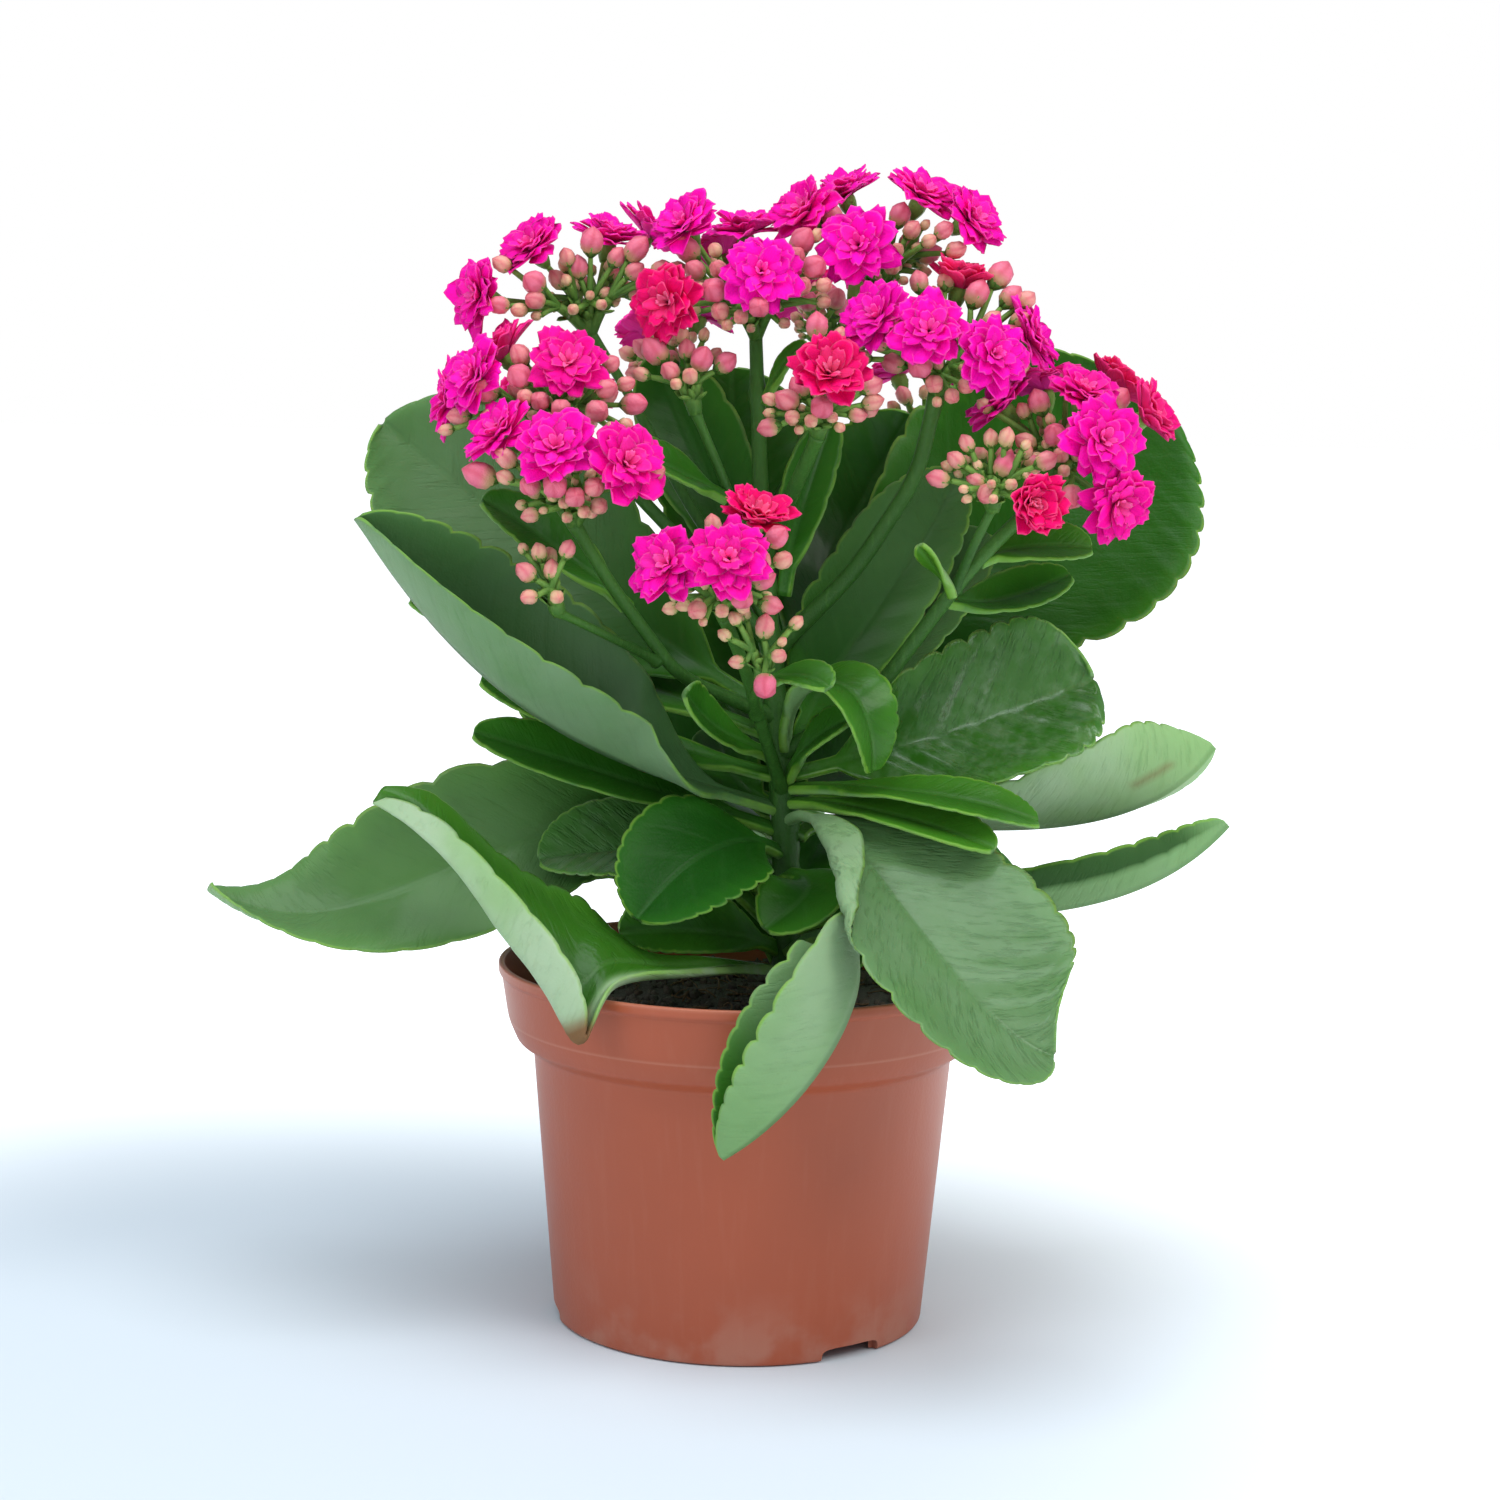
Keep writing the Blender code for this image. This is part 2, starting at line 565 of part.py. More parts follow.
def half_width(leaf, share, along, across):
    """Half the blade's width: a narrow petiole, a rounded blade that is
    widest at its peak, and shallow rounded teeth along the edge."""
    blade = np.clip((share - PETIOLE_SHARE) / (1 - PETIOLE_SHARE), 0, 1)
    low = 1 - np.clip((leaf.peak - blade) / leaf.peak, 0, 1) ** leaf.swell
    high = (1 - np.clip((blade - leaf.peak) / (1 - leaf.peak), 0, 1) ** leaf.taper) ** 0.6
    petiole = min(PETIOLE_HALF, PETIOLE_PART * leaf.width)
    half = leaf.width / 2 * np.where(across < 0, leaf.halves[0], leaf.halves[1])
    edge = petiole + (half - petiole) * low * high
    teeth = 1 - np.abs(np.sin(math.pi * leaf.rows / 2 * along))
    grown = np.clip(blade / 0.3, 0, 1)
    return np.maximum(edge * (1 - CRENATION * teeth * grown), TIP_HALF), grown


def net_points(net, along, across):
    """Points of a leaf that is given as a net of its near edge, its fold and
    its far edge. Each row of the net gets one more point, part of the way to
    the far edge and a little proud of the straight line. A point of the surface
    lies straight between the four points of the net round it."""
    rows = np.array(net, float)
    near, fold, far = rows[:, 0], rows[:, 1], rows[:, 2]
    reach = np.linalg.norm(far - fold, axis=1, keepdims=True)
    proud = NET_BULGE * reach * unit(np.array([[0, -0.5, 0.85]]))
    third = fold + NET_THIRD * (far - fold) + proud
    grid = np.stack([near, fold, third, far], axis=1)
    place = along * (len(grid) - 1)
    row = np.clip(np.floor(place).astype(int), 0, len(grid) - 2)
    column = np.clip(np.searchsorted(NET_KNOTS, across, side="right") - 1, 0, 2)
    gap = NET_KNOTS[column + 1] - NET_KNOTS[column]
    down = (place - row)[:, None]
    over = ((across - NET_KNOTS[column]) / gap)[:, None]
    here = grid[row, column] * (1 - over) + grid[row, column + 1] * over
    after = grid[row + 1, column] * (1 - over) + grid[row + 1, column + 1] * over
    return here * (1 - down) + after * down


def net_surface(leaf, along, across):
    """Points of a net leaf's middle layer: its net with a first row across
    the root, averaged over a small square of neighbours."""
    root = leaf_root(leaf)
    way = np.array(leaf.net[0][1], float) - root
    side = np.array([-way[1], way[0], 0.0]) / np.hypot(way[0], way[1]) * PETIOLE_HALF
    net = [(root + side, root + side, root - side), *leaf.net]
    pulled = across * (1 - CRENATION * (1 - np.abs(np.sin(math.pi * leaf.rows / 2 * along))))
    downs, overs = (np.linspace(-blur, blur, NET_SAMPLES) for blur in NET_BLUR)
    return np.mean([net_points(net, along + down, pulled + over)
                    for down in downs for over in overs], axis=0)


def leaf_surface(leaf, along, across):
    """Points of the blade's middle layer, in mm. along runs 0 to 1 from root
    to tip, and across -1 to 1 from the left to the right edge. Across the
    blade the slope grows from the fold at the midrib by the cup, and past
    the line of a flap by the flap's angle, and is summed outwards."""
    share = 0.5 * along + 0.5 * np.sin(along * math.pi / 2)
    centre, up, side = blade_frame(leaf, leaf_root(leaf), share)
    edge, grown = half_width(leaf, share, along, across)
    fold = np.radians(np.where(across < 0, leaf.fold[0], leaf.fold[1]))
    steps = (np.arange(SLOPE_STEPS) + 0.5) / SLOPE_STEPS
    reach = np.abs(across)[:, None] * steps
    slope = (fold[:, None] + math.radians(leaf.cup) * reach) * grown[:, None]
    if leaf.flap:
        half, angle, places, lines = leaf.flap
        line = np.interp(share, places, lines)[:, None]
        past = np.clip((reach - line) / FLAP_SOFTNESS + 0.5, 0, 1)
        turned = np.where(np.sign(across) == half, math.radians(angle), 0)[:, None]
        slope = slope + turned * past ** 2 * (3 - 2 * past)
    width = edge * np.abs(across)
    out = width * np.cos(slope).mean(axis=1)
    rise = width * np.sin(slope).mean(axis=1)
    rise += leaf.wave * np.sin(math.tau * (1.5 * share + 0.2 * across)) * across ** 2 * grown
    return centre + side * (out * np.sign(across))[:, None] + up * rise[:, None]


def make_leaf(leaf, group, finishes):
    """A blade on a grid, given its thickness evenly on both faces."""
    bm = bmesh.new()
    bmesh.ops.create_grid(bm, x_segments=leaf.rows, y_segments=leaf.columns, size=1.0)
    flat = np.array([vert.co[:] for vert in bm.verts])
    shape = net_surface if leaf.net else leaf_surface
    placed = shape(leaf, (flat[:, 0] + 1) / 2, flat[:, 1]) * MM
    for vert, point in zip(bm.verts, placed):
        vert.co = point
    bmesh.ops.triangulate(bm, faces=bm.faces, quad_method="SHORT_EDGE")
    piece = object_from_bmesh(leaf.name, bm, group)
    wall = piece.modifiers.new("thickness", "SOLIDIFY")
    wall.thickness = LEAF_THICKNESS * MM
    wall.offset = 0.0
    return finish(piece, finishes["leaf"], 50)


def aimed(point, way, twist=0.0):
    """A matrix that stands a shape made along +Z at a point in mm, along a way."""
    turn = Vector(way).to_track_quat("Z", "Y").to_matrix().to_4x4()
    return Matrix.Translation(Vector(point) * MM) @ turn @ Matrix.Rotation(twist, 4, "Z")


def ringed(name, sides, rings, place, group):
    """A closed shape of rings on a sphere's grid, from its top pole to its
    bottom pole. Each ring has a height, radii repeated round it and a twist
    in steps."""
    bm = bmesh.new()
    bands = len(rings) - 1
    bmesh.ops.create_uvsphere(bm, u_segments=sides, v_segments=bands, radius=1.0)
    for vert in bm.verts:
        ring = round(math.acos(max(-1.0, min(1.0, vert.co.z))) / math.pi * bands)
        step = round(math.atan2(vert.co.y, vert.co.x) / (math.tau / sides)) % sides
        height, radii, twist = rings[ring]
        radius = radii[step % len(radii)] * MM
        angle = math.tau * (step + twist) / sides
        vert.co = (radius * math.cos(angle), radius * math.sin(angle), height * MM)
    bmesh.ops.triangulate(bm, faces=bm.faces, quad_method="SHORT_EDGE")
    bm.transform(place)
    return object_from_bmesh(name, bm, group)


def make_bloom(name, point, way, twist, size, group):
    """A double flower: an outer whorl of notched petals and a raised inner
    whorl between them, round a hollow middle."""
    full = BLOOM_RADIUS * size
    outer = [full, full, full * NOTCH_DEPTH]
    inner = [share * INNER_WHORL for share in (full * NOTCH_DEPTH, full, full)]
    rings = [
        (2.9 * size, [0.0], 0),
        (4.8 * size, inner, 0.5),
        (1.8 * size, [full * VALLEY], 0),
        (0.6 * size, outer, 0),
        (-3.2 * size, [0.0], 0),
    ]
    return ringed(name, BLOOM_PETALS * PETAL_STEPS, rings, aimed(point, way, twist), group)


def make_bud(name, fork, point, radius, group):
    """A plump closed bud on the twig that carries it from its fork."""
    way = Vector(point) - Vector(fork)
    rings = [
        (1.3 * radius, [0.0], 0),
        (0.5 * radius, [0.9 * radius], 0.5),
        (-0.6 * radius, [0.9 * radius], 0),
        (-1.5 * radius, [TWIG_RADIUS], 0),
        (0.1 - way.length, [TWIG_RADIUS], 0),
        (-way.length, [0.0], 0),
    ]
    return ringed(name, BUD_SIDES, rings, aimed(point, way), group)


def make_branch(name, start, end, radius, group):
    """A short tapered branch between two points."""
    start, end = Vector(start), Vector(end)
    bm = bmesh.new()
    bmesh.ops.create_cone(bm, cap_ends=True, segments=BRANCH_SIDES,
                          radius1=radius * 1.3 * MM, radius2=radius * MM,
                          depth=(end - start).length * MM,
                          matrix=aimed((start + end) / 2, end - start))
    return object_from_bmesh(name, bm, group)


def head_start(head):
    """Centre of the head's core, just clear of the stalk's end."""
    return Vector(head.tip) + Vector(head.lean).normalized() * (CORE_RADIUS + 2 * GAP)


def head_buds(head, start, draw):
    """Places of the buds: golden-angle directions round the head, those
    clear of its flowers and of each other."""
    if head.placed:
        return [Vector(place) for place in head.placed]
    turn = Vector(head.lean).to_track_quat("Z", "Y")
    found = []
    tries = 6 * head.buds
    for index in range(tries):
        if len(found) == head.buds:
            break
        slope = math.radians(head.spread) * math.sqrt((index + 0.5) / tries)
        angle = GOLDEN_ANGLE * index
        way = turn @ Vector((math.sin(slope) * math.cos(angle),
                             math.sin(slope) * math.sin(angle), math.cos(slope)))
        place = start + way * head.reach * draw.uniform(0.85, 1.1)
        far_from_flowers = all((place - Vector(b)).length > 0.9 * BLOOM_RADIUS
                               for b in head.blooms)
        if far_from_flowers and all((place - other).length > 2.2 * BUD_RADIUS
                                    for other in found):
            found.append(place)
    return found


def make_head(head, index, group, finishes):
    """One flower head: a core, a branch to each flower, twigs to the buds."""
    draw = random.Random(100 + index)
    start = head_start(head)
    bm = bmesh.new()
    bmesh.ops.create_icosphere(bm, subdivisions=1, radius=CORE_RADIUS * MM,
                               matrix=Matrix.Translation(start * MM))
    pieces = [object_from_bmesh("core", bm, group)]
    flowers = []
    for place in (Vector(b) for b in head.blooms):
        way = (place - start).normalized()
        neck = place - way * 2.0
        pieces.append(make_branch("branch", start, neck, BRANCH_RADIUS, group))
        pieces.append(make_bloom("bloom", place, way, draw.uniform(0, math.tau),
                                 draw.uniform(0.92, 1.06), group))
        flowers.append((neck - start) * 0.5 + start)
    for place in head_buds(head, start, draw):
        fork = min(flowers, key=lambda f: (place - f).length) if flowers else start
        pieces.append(make_bud("bud", fork, place, BUD_RADIUS * draw.uniform(0.8, 1.08),
                               group))
    return finish(fuse(head.name, pieces, group), finishes["head"], 40)


def main():
    clear_scene()
    finishes = make_materials()
    plant = new_collection("potted_kalanchoe")
    cutters = new_collection("cutters")
    make_pot(plant, cutters, finishes)
    make_soil(plant, cutters, finishes)
    make_stem(plant, finishes)
    for leaf in LEAVES:
        make_leaf(leaf, plant, finishes)
    for index, head in enumerate(HEADS):
        make_head(head, index, plant, finishes)


main()
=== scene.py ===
"""A flowering kalanchoe in its nursery pot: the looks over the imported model.

It is laid out as an add-on, and run as a script. The tables are in
millimetres with +Z up, the origin is the centre of the pot's flat base,
and +Y points away from the front of the plant.
"""
import math
from dataclasses import dataclass

import bpy
import numpy as np
from bpy.props import FloatProperty, FloatVectorProperty, IntProperty, PointerProperty
from mathutils import Matrix, Vector


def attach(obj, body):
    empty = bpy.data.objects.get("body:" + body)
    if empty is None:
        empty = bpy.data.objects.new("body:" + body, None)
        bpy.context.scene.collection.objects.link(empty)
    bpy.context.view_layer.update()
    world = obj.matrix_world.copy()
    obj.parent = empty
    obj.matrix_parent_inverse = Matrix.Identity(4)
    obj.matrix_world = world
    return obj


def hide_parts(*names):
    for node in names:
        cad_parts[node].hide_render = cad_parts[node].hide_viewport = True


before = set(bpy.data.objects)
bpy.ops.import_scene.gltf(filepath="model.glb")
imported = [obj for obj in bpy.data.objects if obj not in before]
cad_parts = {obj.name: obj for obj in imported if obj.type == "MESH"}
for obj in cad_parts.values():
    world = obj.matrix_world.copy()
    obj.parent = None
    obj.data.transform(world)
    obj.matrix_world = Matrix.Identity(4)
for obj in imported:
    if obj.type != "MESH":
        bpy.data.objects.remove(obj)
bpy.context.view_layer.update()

bl_info = {
    "name": "Potted kalanchoe",
    "version": (1, 0, 0),
    "blender": (4, 5, 0),
    "location": "View3D > Sidebar > Kalanchoe",
    "description": "Builds a flowering kalanchoe in its nursery pot",
    "category": "Object",
}

MM = 0.001

# Camera, in mm and in pixels of the square picture
PICTURE = 1500
CAMERA_PLACE = (0.5, -740.0, 233.3)
FOCAL_PIXELS = 3066.0
CAMERA_PITCH = 0.1254
CAMERA_ROLL = 0.0189
SENSOR_WIDTH = 36.0

# Stage in metres: the floor's size, where its glow starts and ends round a
# centre, where the lights aim, and their places, widths, watts and colours
FLOOR_HALF = 9.0
FLOOR_STEPS = 13
FLOOR_DROP = 0.0002
GLOW_CENTRE = (-0.10, -0.06, 0.0)
GLOW_REACH = (0.13, 0.42)
AIM = (0.0, 0.0, 0.14)
LIGHTS = [
    ("key_light", (1.2, -1.0, 1.6), 1.2, 19.0, (1.0, 0.98, 0.95)),
    ("fill_light", (-1.3, -1.3, 1.1), 1.2, 9.0, (0.97, 0.99, 1.0)),
    ("top_light", (-0.15, -0.45, 1.95), 1.5, 24.0, (0.90, 0.96, 1.0)),
]

# Pot
POT_SIDES = 168
COLLAR_RADIUS = 57.5
COLLAR_FOOT = 66.6
COLLAR_KNEE = 74.1
STEP_WIDTH = 2.2
STEP_HEIGHT = 2.6
LIP_HEIGHT = 2.4
LIP_WIDTH = 0.8
BODY_TOP_RADIUS = 51.3
BASE_RADIUS = 45.4
FLOOR_TOP = 4.5
FOOT_LIFT = 3.0
FOOT_DISC_RADIUS = 20.0
FOOT_RING = 2.0
DRAIN_HOLES = 6
DRAIN_RADIUS = 3.5
DRAIN_CIRCLE = 32.0
NOTCHES = 3
NOTCH_WIDTH = 17.0
NOTCH_DEEP = 5.2
NOTCH_ANGLE = -53.0
CUT_HEIGHTS = (-2.0, 8.0)
DRAIN_SIDES = 20
ARCH_STEPS = 14
ARCH_POWER = 0.4
FILLET_STEPS = 4
SHARP_EDGE = 50

# Soil: the height of its edge and its space to the wall, its grid, its
# lumps by height, width and seed, and what its crumbs and fibres are made of
SOIL_EDGE = 77.6
SOIL_SIDE = 0.4
SOIL_WAIST = 30.0
SOIL_RINGS = 45
SOIL_SIDES = 144
SOIL_LUMPS = ((0.9, 11.0, 5), (0.5, 4.0, 6), (0.3, 1.9, 7))
CRUMB_PROFILE = ((0, 1), (0.75, 0.6), (0.9, -0.4), (0, -1))
CRUMB_SIDES = 5
CRUMB_SIZE = 1.7
CRUMB_INSET = 1.5
FIBRE_RINGS = 7
FIBRE_SIDES = 4
FIBRE_INSET = 7.0
FIBRE_LENGTHS = (5.0, 12.0)
FIBRE_RADII = (0.14, 0.3)
SOIL_SEED = 41
LATTICE = 97

# Main stem: points up its middle, and its radius at each
STEM_PATH = [(10, 0, 57), (10.5, 0, 95), (9, 1, 130), (5, 3, 165),
             (2, 5, 200), (0, 6, 240)]
STEM_RADII = [3.3, 3.2, 3.0, 2.5, 2.0, 1.6]
STEM_RINGS = 110
STEM_SIDES = 16
STALK_RINGS = 46
STALK_SIDES = 12
SWELLING_SPREAD = 2.4

# A stalk's radius at its two ends against its own, and how much it flares
# there in mm over which share of its length
STALK_ENDS = (1.06, 0.90)
STALK_FLARES = ((0.9, 0.06), (0.35, 0.05))

# Leaves
PETIOLE_HALF = 2.0
PETIOLE_PART = 0.16
PETIOLE_SHARE = 0.14
TIP_HALF = 1.2
LARGE_ROWS = 10
SMALL_ROWS = 6
STEM_GAP = 0.3
FLAP_SOFTNESS = 0.2
CAD_THICKNESS = 1.3
SLOPE_STEPS = 24
ROWS_PER_TOOTH = 6
SUNK_IN_STALK = 1.6
SUNK_IN_STEM = 2.6
FIRST_STEP = 0.02
GROOVE_DEPTH = 0.22
GROOVE_WIDTH = 1.1
RIDGE_HEIGHT = 0.75
RIDGE_WIDTH = 1.3

# Columns of a leaf's grid: with a flap or as a net, large, and small
LEAF_COLUMNS = (41, 27, 15)

# Net leaf: where its columns stand across the blade, how far its fourth
# point lies towards the far edge and how proud of it, and how far and with
# how many samples its points are averaged along and across
NET_COLUMNS = np.array([-1.0, -0.45, 0.3, 1.0])
NET_PART = 0.55
NET_BULGE = 0.12
NET_BLUR = (0.045, 0.16)
NET_SAMPLES = 7


@dataclass
class Leaf:
    """One leaf. root is a height on the main stem or a point on a stalk,
    points go on along the midrib to the tip, and faces are the ways that
    the upper side looks from root to tip. The left and the right half have
    the shares halves of half the width, rise from the midrib by fold degrees
    and are cupped. The blade is widest at its peak, and swell and taper are
    the powers of its outline before and past it. flap folds the edge of one
    half over: which half, by how many degrees, and from which part of the
    half's width on at some shares of the length. net gives a leaf that no
    such rule fits by rows of points: its near edge, its fold and its far
    edge. wave is the height in mm of the waves along its edges, and its
    teeth are counted from its rows. look is its tone from dark -1 to light
    1, its gloss from 0 to 1, and the height in mm of the swellings between
    its veins."""
    name: str
    root: object
    points: list
    width: float
    faces: list
    fold: tuple = (10, 10)
    halves: tuple = (1.0, 1.0)
    cup: float = 15.0
    wave: float = 0.0
    peak: float = 0.6
    swell: float = 1.8
    taper: float = 2.4
    flap: tuple = ()
    net: tuple = ()
    look: tuple = (0.0, 0.18, 0.07)
    rows: int = LARGE_ROWS


def small_leaf(*place, **others):
    return Leaf(*place, rows=SMALL_ROWS, **others)


LEAVES = [
    Leaf("leaf_left_folded", 126, [(-25, -13, 137), (-58, -21, 156), (-92, -26, 196)],
         56, [(0, -0.45, 0.89)], fold=(55, 55), cup=12, look=(-0.5, 0.1, 0.06)),
    Leaf("leaf_left_round", 151, [(-42, 17, 179), (-92, 26, 217)],
         56, [(0.15, -0.9, 0.3)], wave=1.5, peak=0.66, look=(0.1, 0.35, 0.08)),
    Leaf("leaf_right_round", (6.6, 6.4, 154), [(59, 34, 186), (103, 40, 225)],
         86, [(-0.1, -0.9, 0.35)], wave=2.0, rows=12, look=(0.0, 0.1, 0.08)),
    Leaf("leaf_right_upright", 143, [(20, 5.2, 158.5), (34.5, 10, 180), (50, 14, 208)],
         48, [(-0.15, -0.95, 0.2)], halves=(0.72, 0.5), peak=0.5, swell=2.2,
         taper=3.5, look=(-0.1, 0.2, 0.06)),
    Leaf("leaf_right_grey", 139, [(33.5, 10, 162.4), (58, 15, 193)],
         28, [(-0.5, -0.75, 0.4)], peak=0.65, look=(0.0, 0.3, 0.06)),
    Leaf("leaf_right_glossy", 134.5, [(47, -7, 146), (83, -4, 159)],
         44, [(-0.2, -0.85, 0.5)], wave=2.0, peak=0.62, taper=4.0, look=(0.35, 1.0, 0.42)),
    Leaf("leaf_right_short", 131, [(42, -26, 133.5), (68, -31, 128)],
         22, [(0.05, -0.4, 0.92)], halves=(0.7, 1.0), look=(0.3, 0.2, 0.06)),
    Leaf("leaf_right_twisted", 120, [(40, 6, 122), (80, 0, 124), (113, 0, 143)],
         45, [(0.1, -0.5, 0.85), (-0.3, 0.75, 0.6)], fold=(22, 22), peak=0.7,
         taper=3.5, look=(0.4, 0.4, 0.06)),
    Leaf("leaf_right_low", 96, [(45, -4, 101), (82, -11, 106), (115, -14, 126)],
         27, [(0, 0.35, 0.94)], fold=(35, 35)),
    Leaf("leaf_front_drooping", 123.5, [(27, -32, 119), (48, -56, 96), (70, -65, 80)],
         60, [(0.25, -0.75, 0.6)], fold=(8, 22), peak=0.54,
         flap=(1, 150, (0.1, 0.3, 0.62), (0.35, 0.45, 1.1)), rows=12, look=(0.1, 0.8, 0.13)),
    Leaf("leaf_front_hanging", 92, [(25.5, -50, 99.5), (19, -70, 81), (-4, -75, 58)],
         43, [(-0.6, -0.1, 0.8), (-0.85, -0.2, 0.4)], fold=(60, 72), look=(0.0, 0.2, 0.04)),
    Leaf("leaf_left_curled", 86, [(-30, -30, 95), (-85, -26, 131)],
         84, [(0.1, -0.3, 0.9)], net=(
             [(0.4, -14.2, 89), (0.4, -14.2, 89), (-2.4, -11.8, 89)],
             [(-8.6, -28, 91), (-9, -27, 90), (-12, -21, 93)],
             [(-18, -40, 93), (-17, -37, 91), (-22, -27, 93)],
             [(-28, -49, 94), (-27, -46, 92), (-29, -27, 98)],
             [(-32, -58, 91), (-33, -55, 90), (-34, -27, 103)],
             [(-36, -61, 77), (-37, -59, 75), (-38, -26, 108)],
             [(-34, -61, 88), (-42, -56, 84), (-44, -26, 110)],
             [(-38, -57, 97), (-49, -51, 94), (-51, -26, 113)],
             [(-46, -51, 106), (-57, -45, 101), (-57, -26, 117)],
             [(-55, -45, 114), (-64, -40, 112), (-64, -26, 123)],
             [(-64, -38, 122), (-75, -34, 122), (-71, -24, 130)],
             [(-74, -31, 129), (-84, -29, 127), (-77, -24, 133)],
             [(-84, -28, 131), (-88, -27, 129), (-85, -25, 133)],
         ), rows=12, look=(0.35, 0.3, 0.05)),
    Leaf("leaf_left_wavy", 98, [(-44, 5, 118), (-87, -6, 103.5), (-129, -10, 105)],
         48, [(0, -0.6, 0.8), (0.1, -0.8, 0.6), (0, -0.2, 1)],
         wave=2.5, peak=0.4, taper=1.3, rows=12, look=(0.3, 0.3, 0.06)),
    Leaf("leaf_front_dark", 116, [(-8, -22, 118.5), (-25, -37, 104.5)],
         44, [(-0.1, -0.8, 0.6)], halves=(0.85, 0.8), peak=0.5, look=(-0.4, 0.0, 0.04)),
    small_leaf("leaf_front_small", 110, [(15, -19, 109), (5, -31, 101.5)],
               22, [(-0.1, -0.7, 0.7)], look=(0.0, 0.0, 0.04)),
    Leaf("leaf_low_soil", 92, [(-8, -12, 97), (-30, -16, 97)],
         22, [(0, -0.9, 0.45)], halves=(0.6, 1.0)),
    Leaf("leaf_left_mid_upper", 134, [(-28, 2, 143), (-65, -1, 156)],
         20, [(0, -0.6, 0.8)], halves=(1.0, 0.5)),
    small_leaf("leaf_left_mid_lower", 121, [(-28, -5, 132), (-66, -9, 144)], 20, [(0, -0.6, 0.8)]),
    Leaf("leaf_left_glossy", 107, [(-20, -4, 115), (-50, -7, 113)],
         30, [(0, -0.6, 0.8)], halves=(0.85, 1.0), look=(0.0, 0.9, 0.2)),
    Leaf("leaf_left_under", 144, [(-38, 14, 158), (-84, 15, 174)],
         40, [(0, -0.5, 0.85)], halves=(0.7, 1.0)),
    Leaf("leaf_back_centre", 167, [(-3, 34, 193), (-6, 50, 232)], 44, [(0, -0.9, 0.3)], rows=8),
    Leaf("leaf_back_right", 162, [(21, 40, 186), (40, 48, 221)], 36, [(-0.1, -0.9, 0.3)], rows=8),
    Leaf("leaf_back_low_left", 104, [(-30, 28, 108), (-64, 54, 97)],
         50, [(-0.2, -0.35, 0.9)], rows=8),
    Leaf("leaf_back_low_right", 98, [(42, 30, 106), (76, 60, 94)],
         52, [(0.2, -0.35, 0.9)], rows=8),
    Leaf("leaf_back_drooping", 110, [(3, 44, 120), (-4, 88, 94)], 50, [(0, 0.4, 0.9)], rows=8),
    Leaf("leaf_back_mid_left", 127, [(-26, 28, 138), (-60, 54, 156)],
         54, [(0.1, -0.8, 0.6)], halves=(0.7, 0.75), peak=0.5, swell=2.2, rows=8),
    Leaf("leaf_back_mid_right", 126, [(30, 28, 134), (64, 53, 144)],
         56, [(-0.1, -0.8, 0.6)], halves=(1.0, 0.6), peak=0.5, swell=2.2, rows=8),
    Leaf("leaf_back_high", 134, [(5, 33, 151), (-2, 56, 183)],
         38, [(0, -0.95, 0.3)], peak=0.5, rows=8),
    small_leaf("leaf_centre_left", 139, [(-8, -14, 147), (-15, -24, 156)], 16, [(0, -0.7, 0.7)]),
    Leaf("leaf_centre_arch", 143, [(14, -15, 157), (24, -26, 157), (29, -27, 139)],
         20, [(-0.2, -0.4, 0.9), (0.6, -0.6, 0.5)], rows=8, look=(0.4, 0.3, 0.06)),
    small_leaf("leaf_centre_inner", 135, [(16, -12, 144), (24, -20, 150)], 13, [(0, -0.7, 0.7)]),
    small_leaf("leaf_bract_centre", (3.8, -33, 159.6), [(11, -38, 162), (18, -43, 160)],
               12, [(0, -0.5, 0.85)]),
    small_leaf("leaf_small_front", 127.5, [(34, -25, 128.2), (57, -41, 123)],
               16, [(0.1, -0.5, 0.85)], look=(0.5, 0.1, 0.05)),
    small_leaf("leaf_right_upper", (55, -14.6, 188.3), [(66, -11, 191), (81, -9, 191)],
               16, [(0, -0.6, 0.8)], look=(0.5, 0.1, 0.05)),
    small_leaf("leaf_right_middle", (46.7, -12.9, 178), [(60, -5, 178), (77, 0, 184)],
               16, [(0, -0.6, 0.8)]),
    small_leaf("leaf_bract_right", (47, -19, 181), [(44, -23, 186), (39, -27, 192)],
               7, [(-0.6, -0.5, 0.5)], look=(0.5, 0.1, 0.05)),
    small_leaf("leaf_upright", 180, [(12, 4, 198), (19, 6, 220)], 14, [(-0.3, -0.9, 0.2)]),
    small_leaf("leaf_under_head", (-29.9, -21.35, 176.8), [(-45, -13, 188), (-64, -14, 200)],
               18, [(0.1, -0.6, 0.8)]),
    small_leaf("leaf_right_of_head", (-7.7, -7.9, 202), [(-17, -13, 207), (-28, -19, 213)],
               14, [(0, -0.6, 0.8)]),
    small_leaf("leaf_bract_top", 226, [(7, 2, 233), (12, -1, 238)],
               7, [(0, -0.6, 0.8)], look=(0.4, 0.1, 0.05)),
]


@dataclass
class Head:
    """One flower head: the points of its stalk from the stem to its tip, or
    the stem's own tip, the way it leans, the places of its open flowers, how
    far its hidden buds reach from the tip, and the radius of its stalk."""
    name: str
    stalk: list
    lean: tuple
    blooms: list
    reach: float = 14.0
    stalk_radius: float = 1.6


